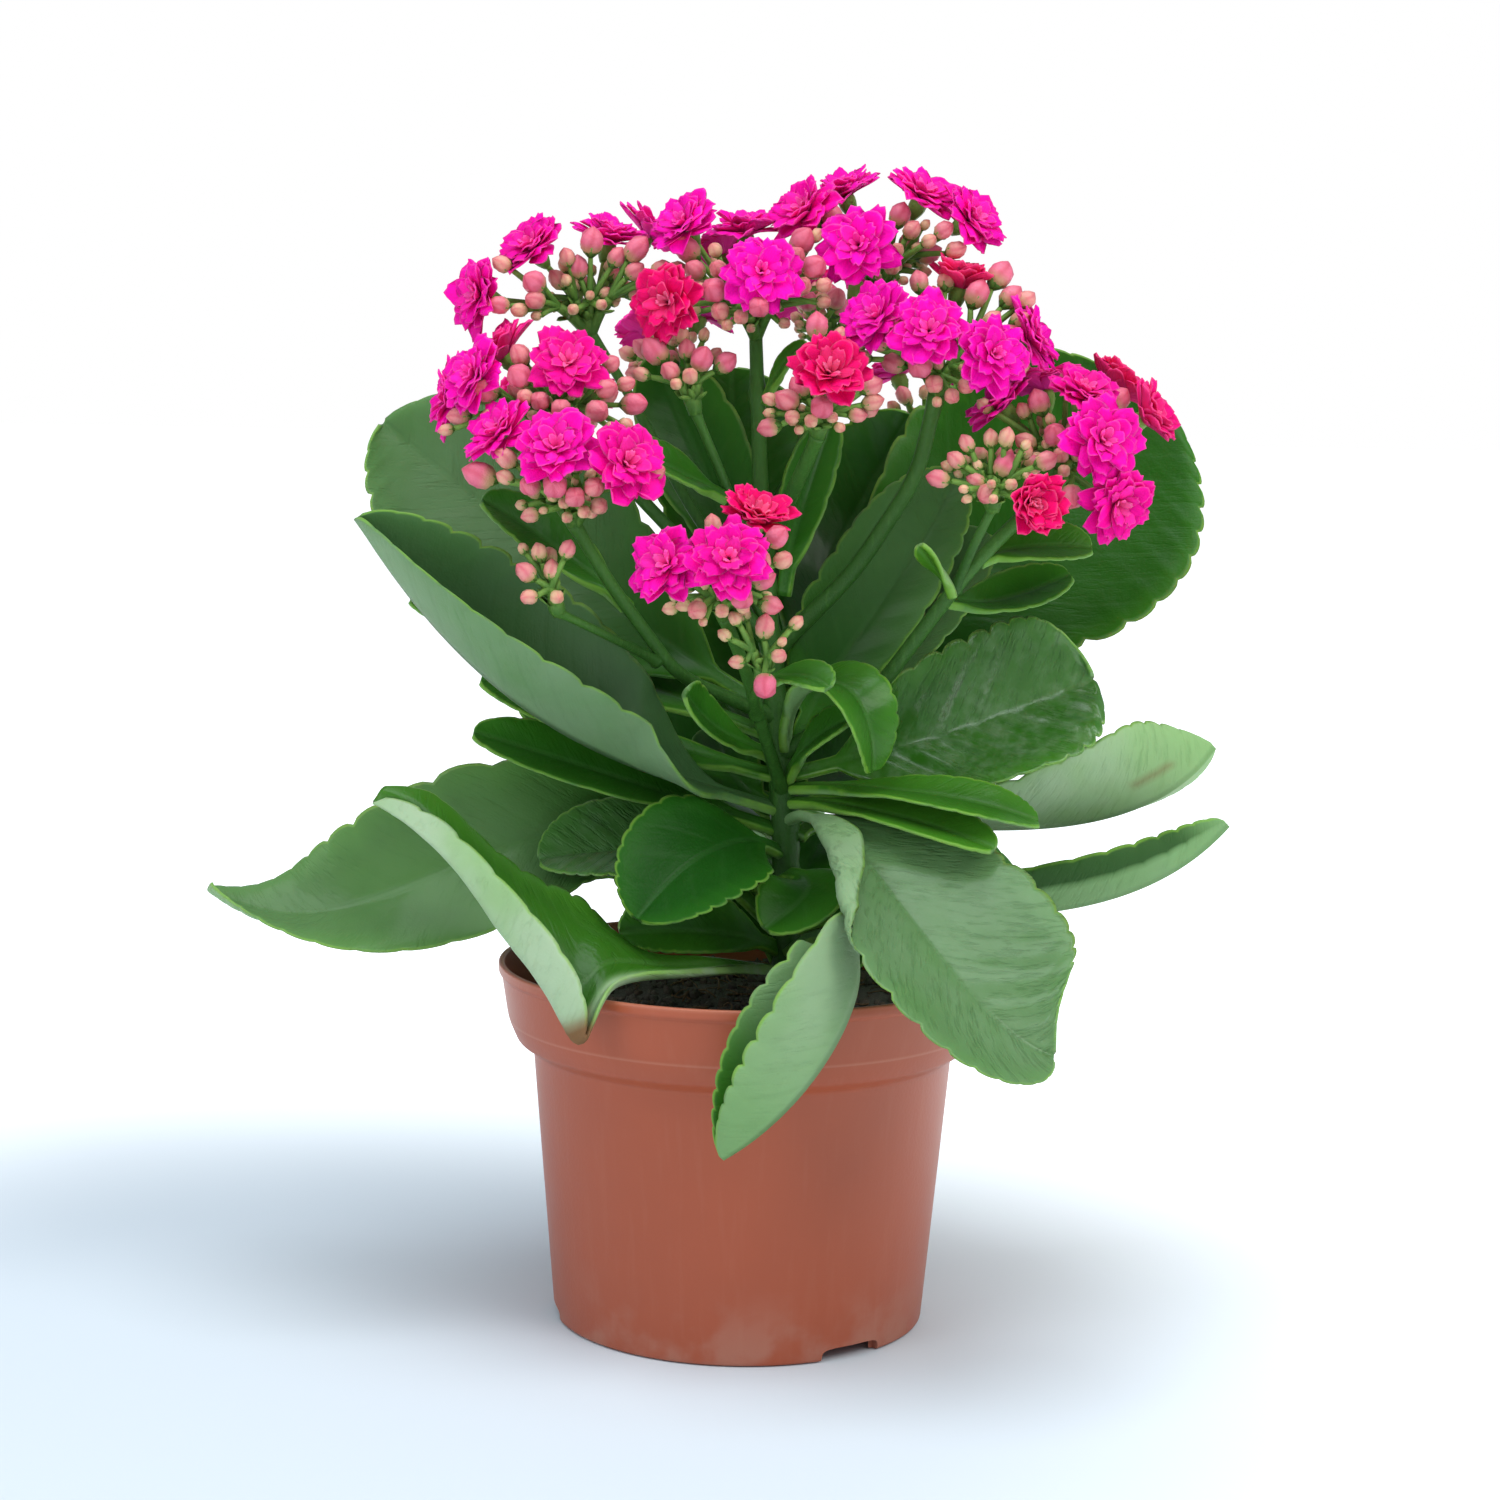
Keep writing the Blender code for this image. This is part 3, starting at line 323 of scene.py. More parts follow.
HEADS = [
    Head("head_a", [(4, 3, 172), (-15, 6, 198), (-33, 5, 230), (-40, 4, 240)], (-0.2, -0.1, 1),
         [(-65, -4, 248), (-53, 0, 259), (-36, 10, 262), (-27, 20, 264)],
         reach=15, stalk_radius=1.3),
    Head("head_b", [(0, 6, 240)], (-0.1, -0.5, 1),
         [(-17, -2, 265), (1, -20, 254), (-3, 11, 264), (-9, 22, 259), (-20, -16, 247)], reach=17),
    Head("head_c", [(2, 5, 192), (14, 13, 214), (26, 9, 240), (29, 7, 250)], (0.1, -0.2, 1),
         [(12, 3, 269), (21, 14, 274), (24, -10, 261), (39, 8, 273), (50, 2, 268)],
         stalk_radius=1.9),
    Head("head_d", [(5, 3, 163), (25, 0, 184), (39, -6, 207), (43, -12, 227)], (0.1, -0.4, 1),
         [(29, -20, 244), (40, -28, 241), (54, -27, 236), (48, -4, 252), (64, -10, 240)],
         reach=15, stalk_radius=2.0),
    Head("head_e", [(3, 4, 188), (9, -9, 202), (15, -22, 217)], (0, -0.6, 1),
         [(17, -35, 231)], reach=12, stalk_radius=1.9),
    Head("head_f", [(8, 1, 139), (29, -10, 154), (52, -17, 187), (72, -13, 207)], (0.1, -0.2, 1),
         [(59, -8, 224), (70, 4, 228), (77, -16, 227), (86, 2, 228), (92, -10, 222),
          (80, -28, 217), (84, -27, 203)], reach=13, stalk_radius=1.8),
    Head("head_g", [(5, 3, 166), (-18, -6, 192), (-38, -15, 213), (-45, -18, 217)], (-0.2, -0.3, 1),
         [(-43, -30, 232), (-59, -12, 234), (-64, -26, 229), (-70, -14, 224)]),
    Head("head_h", [(6, 2, 148), (-17, -13, 159), (-33, -27, 182), (-41, -34, 196)], (-0.1, -0.5, 1),
         [(-57, -36, 216), (-44, -48, 213), (-29, -48, 210)], reach=13),
    Head("head_i", [(9, 1, 129), (4, -14, 145), (-1, -30, 163), (-6, -43, 176)], (0, -0.5, 1),
         [(-18, -56, 188), (-5, -62, 190), (1, -45, 198)], reach=12),
    Head("head_j", [(-22, -16, 163), (-33, -31, 170), (-44, -40, 176)], (-0.3, -0.4, 1),
         [], stalk_radius=1.1),
    Head("head_k", [(2, -20, 151), (1, -31, 156), (3, -43, 162)], (0, -0.6, 1),
         [], stalk_radius=1.1),
    Head("head_m", [(3, 4, 180), (-5, -5, 201), (-14, -13, 222)], (-0.2, -0.2, 1),
         [], stalk_radius=1.2),
    Head("head_n", [(48, -16, 181), (52, -21, 192), (56, -24, 201)], (0, -0.4, 1),
         [(63, -36, 203)], stalk_radius=1.2),
    Head("head_p", [(4, 3, 170), (-7, 18, 196), (-20, 32, 226)], (-0.2, 0.4, 1),
         [(-26, 46, 241), (-14, 36, 245)]),
    Head("head_q", [(4, 4, 174), (10, 22, 204), (17, 34, 235)], (0.1, 0.4, 1),
         [(12, 50, 250), (26, 42, 254)]),
    Head("head_r", [(8, 2, 136), (22, 34, 166), (37, 52, 198), (42, 57, 212)], (0.3, 0.3, 1),
         [(52, 68, 226), (37, 62, 231)], reach=13),
    Head("head_s", [(7, 2, 137), (-20, 34, 168), (-42, 50, 196), (-50, 54, 208)], (-0.3, 0.3, 1),
         [(-62, 62, 221), (-46, 66, 226)], reach=13),
]

# Patches on leaves: leaf, what it does, its reach along and across the
# blade, how soft its edges are, and its strength. brown is dried tissue;
# pale shows the paler lower side with its waxy film, which on several
# upper faces is a painted sheen; dark is painted shade.
PATCHES = [
    ("leaf_left_curled", "brown", (0.46, 0.56), (-1.1, -0.30), 0.03, 1.0),
    ("leaf_left_curled", "pale", (-0.1, 1.2), (-1.3, -0.3), 0.20, 0.75),
    ("leaf_left_wavy", "pale", (0.3, 1.2), (-1.3, 1.3), 0.30, 0.3),
    ("leaf_left_wavy", "brown", (0.45, 0.63), (0.50, 0.56), 0.03, 0.5),
    ("leaf_left_glossy", "pale", (0.1, 1.2), (-1.3, 1.3), 0.30, 0.15),
    ("leaf_left_folded", "pale", (-0.1, 1.2), (-1.3, 1.3), 0.30, 0.35),
    ("leaf_left_round", "pale", (0.45, 1.3), (-1.3, 1.3), 0.50, 0.36),
    ("leaf_right_low", "dark", (-0.1, 0.96), (0.5, 1.3), 0.12, 0.9),
    ("leaf_right_low", "pale", (0.2, 1.2), (-1.3, 0.5), 0.30, 0.2),
    ("leaf_right_twisted", "dark", (-0.1, 0.40), (-1.3, 1.3), 0.30, 1.0),
    ("leaf_right_twisted", "pale", (0.35, 0.85), (-1.3, 1.3), 0.30, 0.75),
    ("leaf_right_twisted", "brown", (0.80, 0.91), (0.28, 0.34), 0.03, 0.5),
    ("leaf_right_grey", "pale", (0.1, 1.2), (-1.3, 1.3), 0.30, 0.3),
    ("leaf_right_upright", "pale", (0.55, 1.3), (-1.3, 1.3), 0.50, 0.22),
    ("leaf_right_glossy", "pale", (0.5, 1.2), (-1.3, 0.1), 0.40, 0.1),
    ("leaf_front_drooping", "pale", (0.1, 1.2), (-1.3, 1.3), 0.30, 0.42),
    ("leaf_front_hanging", "pale", (0.0, 0.75), (-1.3, 1.3), 0.40, 0.5),
]

# Small leaves in the angles between leaves and stem: height on the stem, a
# point half way and the tip in mm, the width, and the way the top side looks
AXIL_LEAVES = [
    (126, (-3, 9, 132), (-9, 22, 142), 17, (0.1, -0.9, 0.5)),
    (106, (16, 11, 112), (21, 25, 119), 18, (0, -0.9, 0.5)),
    (92, (-8, 10, 98), (-32, 18, 107), 22, (0, -0.8, 0.7)),
    (88, (2, 13, 97), (-5, 26, 104), 19, (0, -0.9, 0.5)),
    (98, (23, 10, 101), (38, 20, 107), 18, (0, -0.8, 0.6)),
    (138, (14, 9, 146), (20, 20, 157), 15, (-0.2, -0.9, 0.4)),
    (112, (-6, 7, 117), (-22, 14, 124), 17, (0, -0.8, 0.6)),
    (84, (22, 3, 88), (38, 6, 95), 16, (0, -0.6, 0.8)),
    (121, (7, 14, 127), (2, 24, 142), 20, (0, -1, 0.3)),
    (176, (-10, 17, 202), (-25, 21, 235), 27, (0.1, -0.95, 0.2)),
]

# Buds that show in the picture: pixels across and down, the Y in mm at
# which each stands, and its radius in mm
BUDS = {
    "head_a": [
        (502, 264, -6, 2.2), (534, 282, -8, 2.9), (535, 300, -8, 2.4), (519, 310, -8, 1.9),
        (536, 316, -6, 1.3), (499, 305, -10, 2.4), (579, 267, 0, 2.5), (566, 280, -2, 1.5),
        (592, 241, -2, 3.1), (617, 257, 0, 2.4), (567, 257, -2, 2.1), (637, 249, -2, 3.0),
        (635, 271, -2, 2.4), (644, 283, -2, 1.6), (661, 269, -4, 2.3), (676, 270, -2, 2.3),
    ],
    "head_b": [
        (687, 249, -4, 3.2), (695, 270, -8, 2.5), (715, 250, -10, 1.8), (718, 269, -14, 2.2),
        (714, 290, -18, 3.1), (700, 290, -16, 1.9), (720, 311, -18, 2.3), (741, 317, -20, 1.9),
        (727, 325, -18, 1.5), (759, 307, -24, 2.6), (802, 241, -8, 3.1), (796, 256, -12, 2.3),
        (814, 267, -14, 3.0), (817, 235, -8, 1.7), (802, 286, -16, 2.3), (824, 285, -16, 1.9),
        (824, 302, -14, 1.7),
    ],
    "head_c": [
        (831, 215, 4, 3.0), (839, 230, 2, 1.8), (900, 215, 4, 2.9), (912, 230, 0, 2.3),
        (929, 241, -4, 1.8), (944, 230, -4, 2.3), (916, 247, 0, 1.1), (956, 250, -4, 2.3),
        (897, 250, -2, 1.8), (892, 267, -6, 2.0), (925, 225, 2, 1.3),
    ],
    "head_d": [
        (919, 282, -8, 2.5), (946, 281, -6, 2.4), (934, 297, -8, 2.4), (940, 312, -12, 2.3),
        (977, 294, -10, 3.1), (1000, 275, -6, 3.3), (1011, 297, -8, 2.9), (1026, 300, -8, 2.4),
        (992, 320, -14, 2.3), (1020, 320, -12, 2.4), (954, 311, -12, 1.5), (900, 329, -24, 3.1),
        (855, 341, -16, 2.4), (879, 342, -20, 2.4), (866, 329, -14, 1.9), (862, 357, -16, 2.0),
        (920, 366, -26, 3.1), (934, 384, -26, 2.3), (952, 396, -26, 1.9), (937, 402, -26, 1.3),
        (966, 386, -24, 2.0), (1007, 337, -14, 3.1), (1020, 367, -16, 2.0),
    ],
    "head_e": [
        (817, 326, -24, 2.9), (827, 352, -28, 2.3), (840, 335, -20, 1.9), (822, 407, -32, 2.9),
        (872, 386, -28, 2.5), (873, 402, -28, 2.2), (787, 400, -30, 2.7), (770, 399, -28, 1.7),
        (792, 417, -32, 1.8), (811, 421, -32, 1.7), (799, 430, -30, 1.2),
    ],
    "head_f": [
        (1039, 402, -14, 2.9), (1067, 382, -8, 2.6), (985, 406, -12, 1.9), (1024, 411, -12, 2.0),
        (1055, 435, -20, 2.9), (1061, 455, -22, 2.0), (1064, 471, -24, 1.6), (1026, 442, -16, 2.4),
        (1117, 400, -8, 3.2), (1126, 442, -18, 3.0), (1072, 497, -26, 2.9),
    ],
    "head_g": [
        (520, 355, -28, 2.5), (519, 376, -32, 3.0), (486, 391, -28, 2.9), (459, 416, -24, 2.4),
        (490, 416, -30, 2.0), (525, 397, -34, 2.0), (540, 401, -34, 2.4), (561, 409, -36, 2.5),
        (597, 411, -34, 2.8), (607, 389, -32, 2.5), (626, 384, -28, 2.0), (634, 404, -28, 2.9),
        (626, 425, -32, 1.8), (611, 427, -34, 1.4), (611, 364, -26, 2.2), (545, 421, -36, 2.4),
        (446, 430, -26, 1.6),
    ],
    "head_h": [
        (506, 458, -42, 2.5), (480, 475, -38, 3.4), (505, 477, -42, 1.9), (530, 486, -46, 2.4),
        (555, 486, -50, 3.0), (575, 497, -50, 2.5), (594, 487, -50, 2.4), (599, 506, -46, 2.1),
        (584, 512, -48, 1.6), (564, 472, -46, 1.5), (655, 472, -46, 2.4),
    ],
    "head_i": [
        (713, 525, -50, 2.2), (777, 537, -56, 2.7), (760, 561, -58, 2.6), (783, 560, -56, 2.2),
        (742, 598, -60, 2.7), (722, 611, -58, 1.7), (697, 610, -58, 2.3), (703, 622, -56, 1.1),
    ],
    "head_j": [
        (526, 572, -44, 2.4), (552, 570, -42, 2.2), (529, 597, -46, 1.9), (557, 597, -46, 1.7),
    ],
    "head_k": [
        (765, 627, -46, 2.5), (782, 642, -48, 1.2), (779, 656, -50, 1.8), (737, 662, -46, 1.8),
        (765, 686, -52, 2.9),
    ],
    "head_m": [
        (655, 351, -16, 3.3), (670, 371, -20, 2.3), (687, 350, -14, 2.4), (702, 359, -18, 2.9),
        (690, 376, -22, 2.0), (676, 384, -22, 1.5), (641, 374, -16, 1.9), (682, 336, -12, 2.1),
        (704, 335, -12, 1.5),
    ],
    "head_n": [
        (1005, 465, -25, 2.9), (976, 481, -26, 2.1), (987, 494, -28, 2.5), (967, 499, -28, 1.2),
    ],
}

# Blooms that are newer than the rest: head, which of its blooms, and how
# crimson and how closed it is
NEW_BLOOMS = {
    ("head_b", 4): (1.0, 0.1), ("head_d", 3): (1.0, 0.7), ("head_e", 0): (1.0, 0.2),
    ("head_f", 3): (0.9, 0.4), ("head_f", 4): (0.8, 0.4), ("head_g", 0): (0.5, 0.0),
    ("head_i", 2): (1.0, 0.3), ("head_n", 0): (1.0, 0.7), ("head_g", 1): (0.6, 0.3),
}

# Whorls of a double flower: petals, length and half width against the
# flower's radius, lean from its axis, bend outwards in degrees, height in
# mm, and how pale they are
WHORLS = [
    (9, 1.02, 0.32, 65, 24, 0.0, 0.0),
    (9, 0.93, 0.29, 54, 28, 0.5, 0.0),
    (8, 0.80, 0.25, 43, 30, 0.9, 0.0),
    (6, 0.62, 0.18, 30, 30, 1.2, 0.1),
    (5, 0.40, 0.10, 14, 26, 1.4, 0.6),
]
PETAL_ALONG = np.array([0.0, 0.25, 0.5, 0.72, 0.88, 1.0])
PETAL_ACROSS = np.array([-1.0, -0.7, -0.25, 0.25, 0.7, 1.0])
PETAL_THICKNESS = 0.16

# A petal: its foot's width against its widest, how far along it is widest,
# and where its tip begins and by how much it narrows there
PETAL_FOOT = 0.28
PETAL_WIDEST = 0.68
PETAL_TIP = (0.6, 0.62)

# How petals differ: turn in radians, length, width, lean and bend in
# degrees, cup and paleness, and how much less those of a closed flower lean
# and bend
PETAL_TURN = 0.2
PETAL_LENGTHS = (0.84, 1.06)
PETAL_WIDTHS = (0.8, 1.2)
PETAL_LEANS = (-9, 9)
PETAL_BENDS = (-12, 12)
PETAL_CUPS = (0.05, 0.3)
PETAL_PALENESS = (0.6, 1.2)
CLOSED_LEAN = 0.45
CLOSED_BEND = 0.8
BLOOM_SIZES = (0.96, 1.06)
BLOOM_TILT = 0.45
FRONT_HEADS = 20
CUP_SIZE = 2.6
NECK_RINGS = 6
NECK_START = 5.5
NECK_LENGTH = 5.6
MOST_NEW = 0.4
SEPAL_ALONG = np.array([0.0, 0.45, 0.8, 1.0])
SEPAL_ACROSS = np.array([-1.0, 0.0, 1.0])
SEPAL_THICKNESS = 0.14
SEPALS = 4

# A sepal's length and half width against its flower's or bud's size, its
# lean, bend and cup, and the radius and height of its foot
SEPAL_LENGTH = 1.25
SEPAL_HALF = 0.42
SEPAL_LEAN = 50
SEPAL_BEND = -34
SEPAL_CUP = 0.2
SEPAL_FOOT = (0.12, -1.35)

# Buds: height and radius up a bud's outline, against its own radius, and how
# the hidden ones are placed: how many with and without blooms, how many
# places are tried, and how far from the head's way they go in degrees
BUD_PROFILE = np.array([[-1.05, 0.0], [-0.96, 0.48], [-0.6, 0.85], [-0.05, 1.0], [0.48, 0.88],
                        [0.84, 0.56], [1.09, 0.22], [1.22, 0.0]])
BUD_SIDES = 12
BUD_STRETCH = (0.94, 1.08)
SEAMS = 4
SEAM_DEPTH = 0.10
SEAM_TWIST = 0.35

# The radius in mm of an unripe bud, how much larger a ripe one is, and how
# far a bud's ripeness may stray from what its radius says
UNRIPE_RADIUS = 1.4
RIPE_GROWTH = 1.3
RIPENESS_STRAYS = (-0.3, 0.2)
HIDDEN_BUDS = (16, 4)
BUD_TRIES = 70
BUD_SLOPE = 100
HIDDEN_RADII = (1.3, 2.8)
HIDDEN_REACH = (0.75, 1.05)
HIDDEN_BEHIND = 4.0
SMALL_BUDS = 13
SMALL_RADII = (0.9, 1.5)
SMALL_REACH = (0.5, 0.7)

# Room that a hidden bud has round other buds and blooms, and a small one
# round other buds, in mm
BUD_ROOM = 0.3
BLOOM_ROOM = 6.0
SMALL_ROOM = 1.3
HEAD_SEED = 300

# Greens of a head: its forks, and the grids of its branches and pedicels
MOST_FORKS = 6
ENDS_PER_FORK = 4
FORK_ROUNDS = 6
LIMB_RINGS = 9
BRANCH_SIDES = 8
PEDICEL_SIDES = 6
KNOT_RINGS = 8
KNOT_SIDES = 10
KNOT_DEPTH = 0.6
BRACT_SIZE = 3.6

# How far a fork stands towards its flowers, and radii in mm: of branches and
# pedicels at their end, and how much more at their start, and of the knot at
# its ends, and how much more between them
FORK_SHARE = 0.45
BRANCH_RADII = (1.1, 0.5)
PEDICEL_RADII = (0.65, 0.3)
KNOT_RADII = (1.35, 0.65)
CORE_RADIUS = 2.4
GOLDEN_ANGLE = math.pi * (3.0 - math.sqrt(5.0))


@dataclass
class Surface:
    """Points in mm, blocks of faces between them, and triples of values at
    the points, by name, that the material reads."""
    points: np.ndarray
    faces: list
    marks: dict


def grid_faces(rows, columns, closed):
    """Quads between the neighbours of a grid stored row by row. A closed
    grid joins its last column to its first."""
    row = np.arange(rows - 1)[:, None]
    column = np.arange(columns if closed else columns - 1)[None, :]
    after = (column + 1) % columns
    corners = [row * columns + column, row * columns + after,
               (row + 1) * columns + after, (row + 1) * columns + column]
    return np.stack(corners, axis=-1).reshape(-1, 4)


def pole_faces(rings, sides):
    """Faces of rings of points between a first and a last pole: a fan of
    triangles at each pole and quads between the rings."""
    step = np.arange(sides)
    after = (step + 1) % sides
    last = rings * sides + 1
    base = (rings - 1) * sides + 1
    first_fan = np.stack([0 * step, after + 1, step + 1], axis=1)
    last_fan = np.stack([0 * step + last, base + step, base + after], axis=1)
    return [grid_faces(rings, sides, True) + 1, first_fan, last_fan]


def copies(faces, count, stride):
    """The faces of one shape repeated for a count of shapes, each of which
    holds stride points."""
    shift = np.arange(count)[:, None, None] * stride
    return [(block[None] + shift).reshape(-1, block.shape[1]) for block in faces]


def joined(surfaces):
    """Several surfaces with the same marks as one."""
    start = 0
    faces = []
    for surface in surfaces:
        faces += [block + start for block in surface.faces]
        start += len(surface.points)
    marks = {name: np.concatenate([surface.marks[name] for surface in surfaces])
             for name in surfaces[0].marks}
    return Surface(np.concatenate([surface.points for surface in surfaces]), faces, marks)


def signed_volume(points, faces):
    """Six times the volume that the faces close in: the sum of a . (b x c)
    over their triangles, which is negative where they face inwards."""
    total = 0.0
    for block in faces:
        for second in range(1, block.shape[1] - 1):
            a, b, c = (points[block[:, corner]] for corner in (0, second, second + 1))
            total += float(np.sum(a * np.cross(b, c)))
    return total


def linked(name, data):
    """A new object of some data, in the scene."""
    made = bpy.data.objects.new(name, data)
    bpy.context.scene.collection.objects.link(made)
    return made


def mesh_object(name, surface):
    """An object with the surface as its mesh, faces outwards."""
    faces = surface.faces
    if signed_volume(surface.points, faces) < 0:
        faces = [block[:, ::-1] for block in faces]
    mesh = bpy.data.meshes.new(name)
    mesh.from_pydata((surface.points * MM).tolist(), [],
                     [face for block in faces for face in block.tolist()])
    return linked(name, mesh)


def make_piece(name, surface, finish, nodes):
    """One mesh piece that stands for CAD nodes."""
    piece = mesh_object(name, surface)
    for label, values in surface.marks.items():
        layer = piece.data.attributes.new(label, "FLOAT_VECTOR", "POINT")
        layer.data.foreach_set("vector", values.astype(np.float32).ravel())
    piece.data.materials.append(finish)
    piece.data.shade_smooth()
    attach(piece, "root")
    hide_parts(*nodes)
    return piece


def lumps(x, y, cell, seed):
    """Smooth random heights from -1 to 1: a seeded lattice of values,
    blended between its corners by the smooth step."""
    lattice = np.random.default_rng(seed).uniform(-1, 1, (LATTICE, LATTICE))
    across = np.clip(x / cell + LATTICE // 2, 0, LATTICE - 1.001)
    down = np.clip(y / cell + LATTICE // 2, 0, LATTICE - 1.001)
    i = across.astype(int)
    j = down.astype(int)
    s = smooth(across - i)
    t = smooth(down - j)
    near = lattice[i, j] * (1 - s) + lattice[i + 1, j] * s
    far = lattice[i, j + 1] * (1 - s) + lattice[i + 1, j + 1] * s
    return near * (1 - t) + far * t


def smooth(share):
    """The smooth step 3 t t - 2 t t t."""
    return share ** 2 * (3 - 2 * share)


def bent(first, corner, last, share):
    """The quadratic curve a (1-t)^2 + 2 b t (1-t) + c t^2."""
    return first * (1 - share) ** 2 + 2 * corner * share * (1 - share) + last * share ** 2


def unit(rows):
    """Each row over its own length."""
    return rows / np.maximum(np.linalg.norm(rows, axis=-1, keepdims=True), 1e-9)


def through(points, share):
    """The smooth curve (Lagrange's polynomial) through evenly spaced points."""
    points = np.array(points, float)
    knots = np.linspace(0, 1, len(points))
    total = np.zeros((len(share), 3))
    for index, knot in enumerate(knots):
        weight = np.ones(len(share))
        for other in np.delete(knots, index):
            weight = weight * (share - other) / (knot - other)
        total += weight[:, None] * points[index]
    return total


def from_picture(pixels, depth):
    """Points in mm that the picture shows at pixels, at a given Y: the
    camera's ray through each pixel, followed to that Y."""
    turn_cos, turn_sin = math.cos(CAMERA_ROLL), math.sin(CAMERA_ROLL)
    tip_cos, tip_sin = math.cos(CAMERA_PITCH), math.sin(CAMERA_PITCH)
    right = pixels[:, 0] - PICTURE / 2
    down = pixels[:, 1] - PICTURE / 2
    x = (right * turn_cos + down * turn_sin) / FOCAL_PIXELS
    z = (right * turn_sin - down * turn_cos) / FOCAL_PIXELS
    ahead = tip_cos + z * tip_sin
    rise = z * tip_cos - tip_sin
    reach = (depth - CAMERA_PLACE[1]) / ahead
    return np.stack([CAMERA_PLACE[0] + x * reach, depth, CAMERA_PLACE[2] + rise * reach], axis=1)


def blade_shells(middle, above, below, marks):
    """Closed shells round middle surfaces, an array (shapes, rows, columns,
    3). A point's upper side is the middle + normal x above and its lower
    side the middle - normal x below, where the normal is the slope across
    x the slope along. The sides share the first and last column, where both
    thicknesses are nothing, and strips close the first and last row. marks
    are (shapes, rows, columns, 3) for each side, stacked first."""
    shapes, rows, columns, _ = middle.shape
    normal = unit(np.cross(np.gradient(middle, axis=2), np.gradient(middle, axis=1)))
    upper = middle + normal * above[..., None]
    lower = middle - normal * below[..., None]
    ring = 2 * columns - 2
    points = np.concatenate([upper, lower[:, :, -2:0:-1]], axis=2).reshape(-1, 3)
    inner = np.arange(1, columns - 2)
    strip = np.stack([inner + 1, inner, ring - inner, ring - inner - 1], axis=1)
    ends = np.array([[1, 0, ring - 1], [columns - 1, columns - 2, columns]])
    last = (rows - 1) * ring
    faces = [grid_faces(rows, ring, True), strip, ends,
             strip[:, ::-1] + last, ends[:, ::-1] + last]
    sides = {name: np.concatenate([values[0], values[1][:, :, -2:0:-1]], axis=2).reshape(-1, 3)
             for name, values in marks.items()}
    return Surface(points, copies(faces, shapes, rows * ring), sides)


def tubes(paths, radii, sides, marks):
    """Closed tubes along paths, an array (shapes, rings, 3): each ring is
    centre + radius x (side cos a + up sin a), where side is square to the
    path and to the axis that the path keeps furthest from, and up is square
    to both. The tubes end in poles on the path's first and last points."""
    shapes, rings, _ = paths.shape
    ahead = unit(np.gradient(paths, axis=1))
    axis = np.argmin(np.abs(ahead).max(axis=1), axis=1)
    side = unit(np.cross(ahead, np.eye(3)[axis][:, None, :]))
    up = np.cross(side, ahead)
    angle = np.arange(sides) * math.tau / sides
    circle = (side[:, :, None] * np.cos(angle)[None, None, :, None]
              + up[:, :, None] * np.sin(angle)[None, None, :, None])
    rounds = paths[:, :, None] + circle * radii[:, :, None, None]
    points = np.concatenate([paths[:, :1], rounds.reshape(shapes, -1, 3), paths[:, -1:]], axis=1)
    along = np.broadcast_to(np.linspace(0, 1, rings)[None, :, None], (shapes, rings, sides))
    around = np.broadcast_to(angle / math.tau, (shapes, rings, sides))
    tone = np.broadcast_to(marks[:, None, None], (shapes, rings, sides))
    shoot = np.stack([along, around, tone], axis=-1).reshape(shapes, -1, 3)
    shoot = np.concatenate([shoot[:, :1], shoot, shoot[:, -1:]], axis=1)
    faces = copies(pole_faces(rings, sides), shapes, rings * sides + 2)
    return Surface(points.reshape(-1, 3), faces, {"shoot": shoot.reshape(-1, 3)})


def distances(points):
    """How far along its line, an array (..., points, 3), each point lies."""
    steps = np.linalg.norm(np.diff(points, axis=-2), axis=-1)
    return np.concatenate([np.zeros_like(steps[..., :1]), np.cumsum(steps, axis=-1)], axis=-1)


def rounded_path(points, count, blur):
    """A path with soft corners: points evenly along the line, each then
    averaged with its neighbours up to blur steps away, with the ends kept."""
    points = np.array(points, float)
    run = distances(points)
    even = np.linspace(0, run[-1], count)
    line = np.stack([np.interp(even, run, points[:, axis]) for axis in range(3)], axis=1)
    before = 2 * line[0] - line[blur:0:-1]
    after = 2 * line[-1] - line[-2:-blur - 2:-1]
    padded = np.concatenate([before, line, after])
    window = np.ones(2 * blur + 1) / (2 * blur + 1)
    return np.stack([np.convolve(padded[:, axis], window, "valid") for axis in range(3)], axis=1)


def turned_to(ways):
    """Rotations (shapes, 3, 3) that stand +Z along each way: the columns are
    side, up and way, with side square to the way and to the axis that is
    furthest from it."""
    ways = unit(ways)
    axis = np.argmin(np.abs(ways), axis=1)
    side = unit(np.cross(np.eye(3)[axis], ways))
    return np.stack([side, np.cross(ways, side), ways], axis=-1)


# Node helpers

class Flow:
    """A value that runs through a material: an output socket that is added,
    multiplied and so on as a number is, each time by a Math node."""

    def __init__(self, socket):
        self.socket = socket
        self.tree = socket.id_data

    def __add__(self, other):
        return maths("ADD", self, other)

    def __mul__(self, other):
        return maths("MULTIPLY", self, other)

    def __sub__(self, other):
        return maths("SUBTRACT", self, other)

    def __rsub__(self, other):
        return maths("SUBTRACT", other, self)

    def __pow__(self, power):
        return maths("POWER", self, power)

    def __abs__(self):
        return maths("ABSOLUTE", self)


def put(socket, value):
    """A link to a socket, or its value. A colour of three values is opaque."""
    if isinstance(value, Flow):
        value.tree.links.new(value.socket, socket)
    elif socket.type == "RGBA":
        socket.default_value = (*value[:3], 1.0)
    else:
        socket.default_value = value


def add(tree, kind, sockets=None, **settings):
    """A new node with its settings, and what its sockets get."""
    made = tree.nodes.new(kind)
    for name, value in settings.items():
        setattr(made, name, value)
    for key, value in (sockets or {}).items():
        put(made.inputs[key], value)
    return made


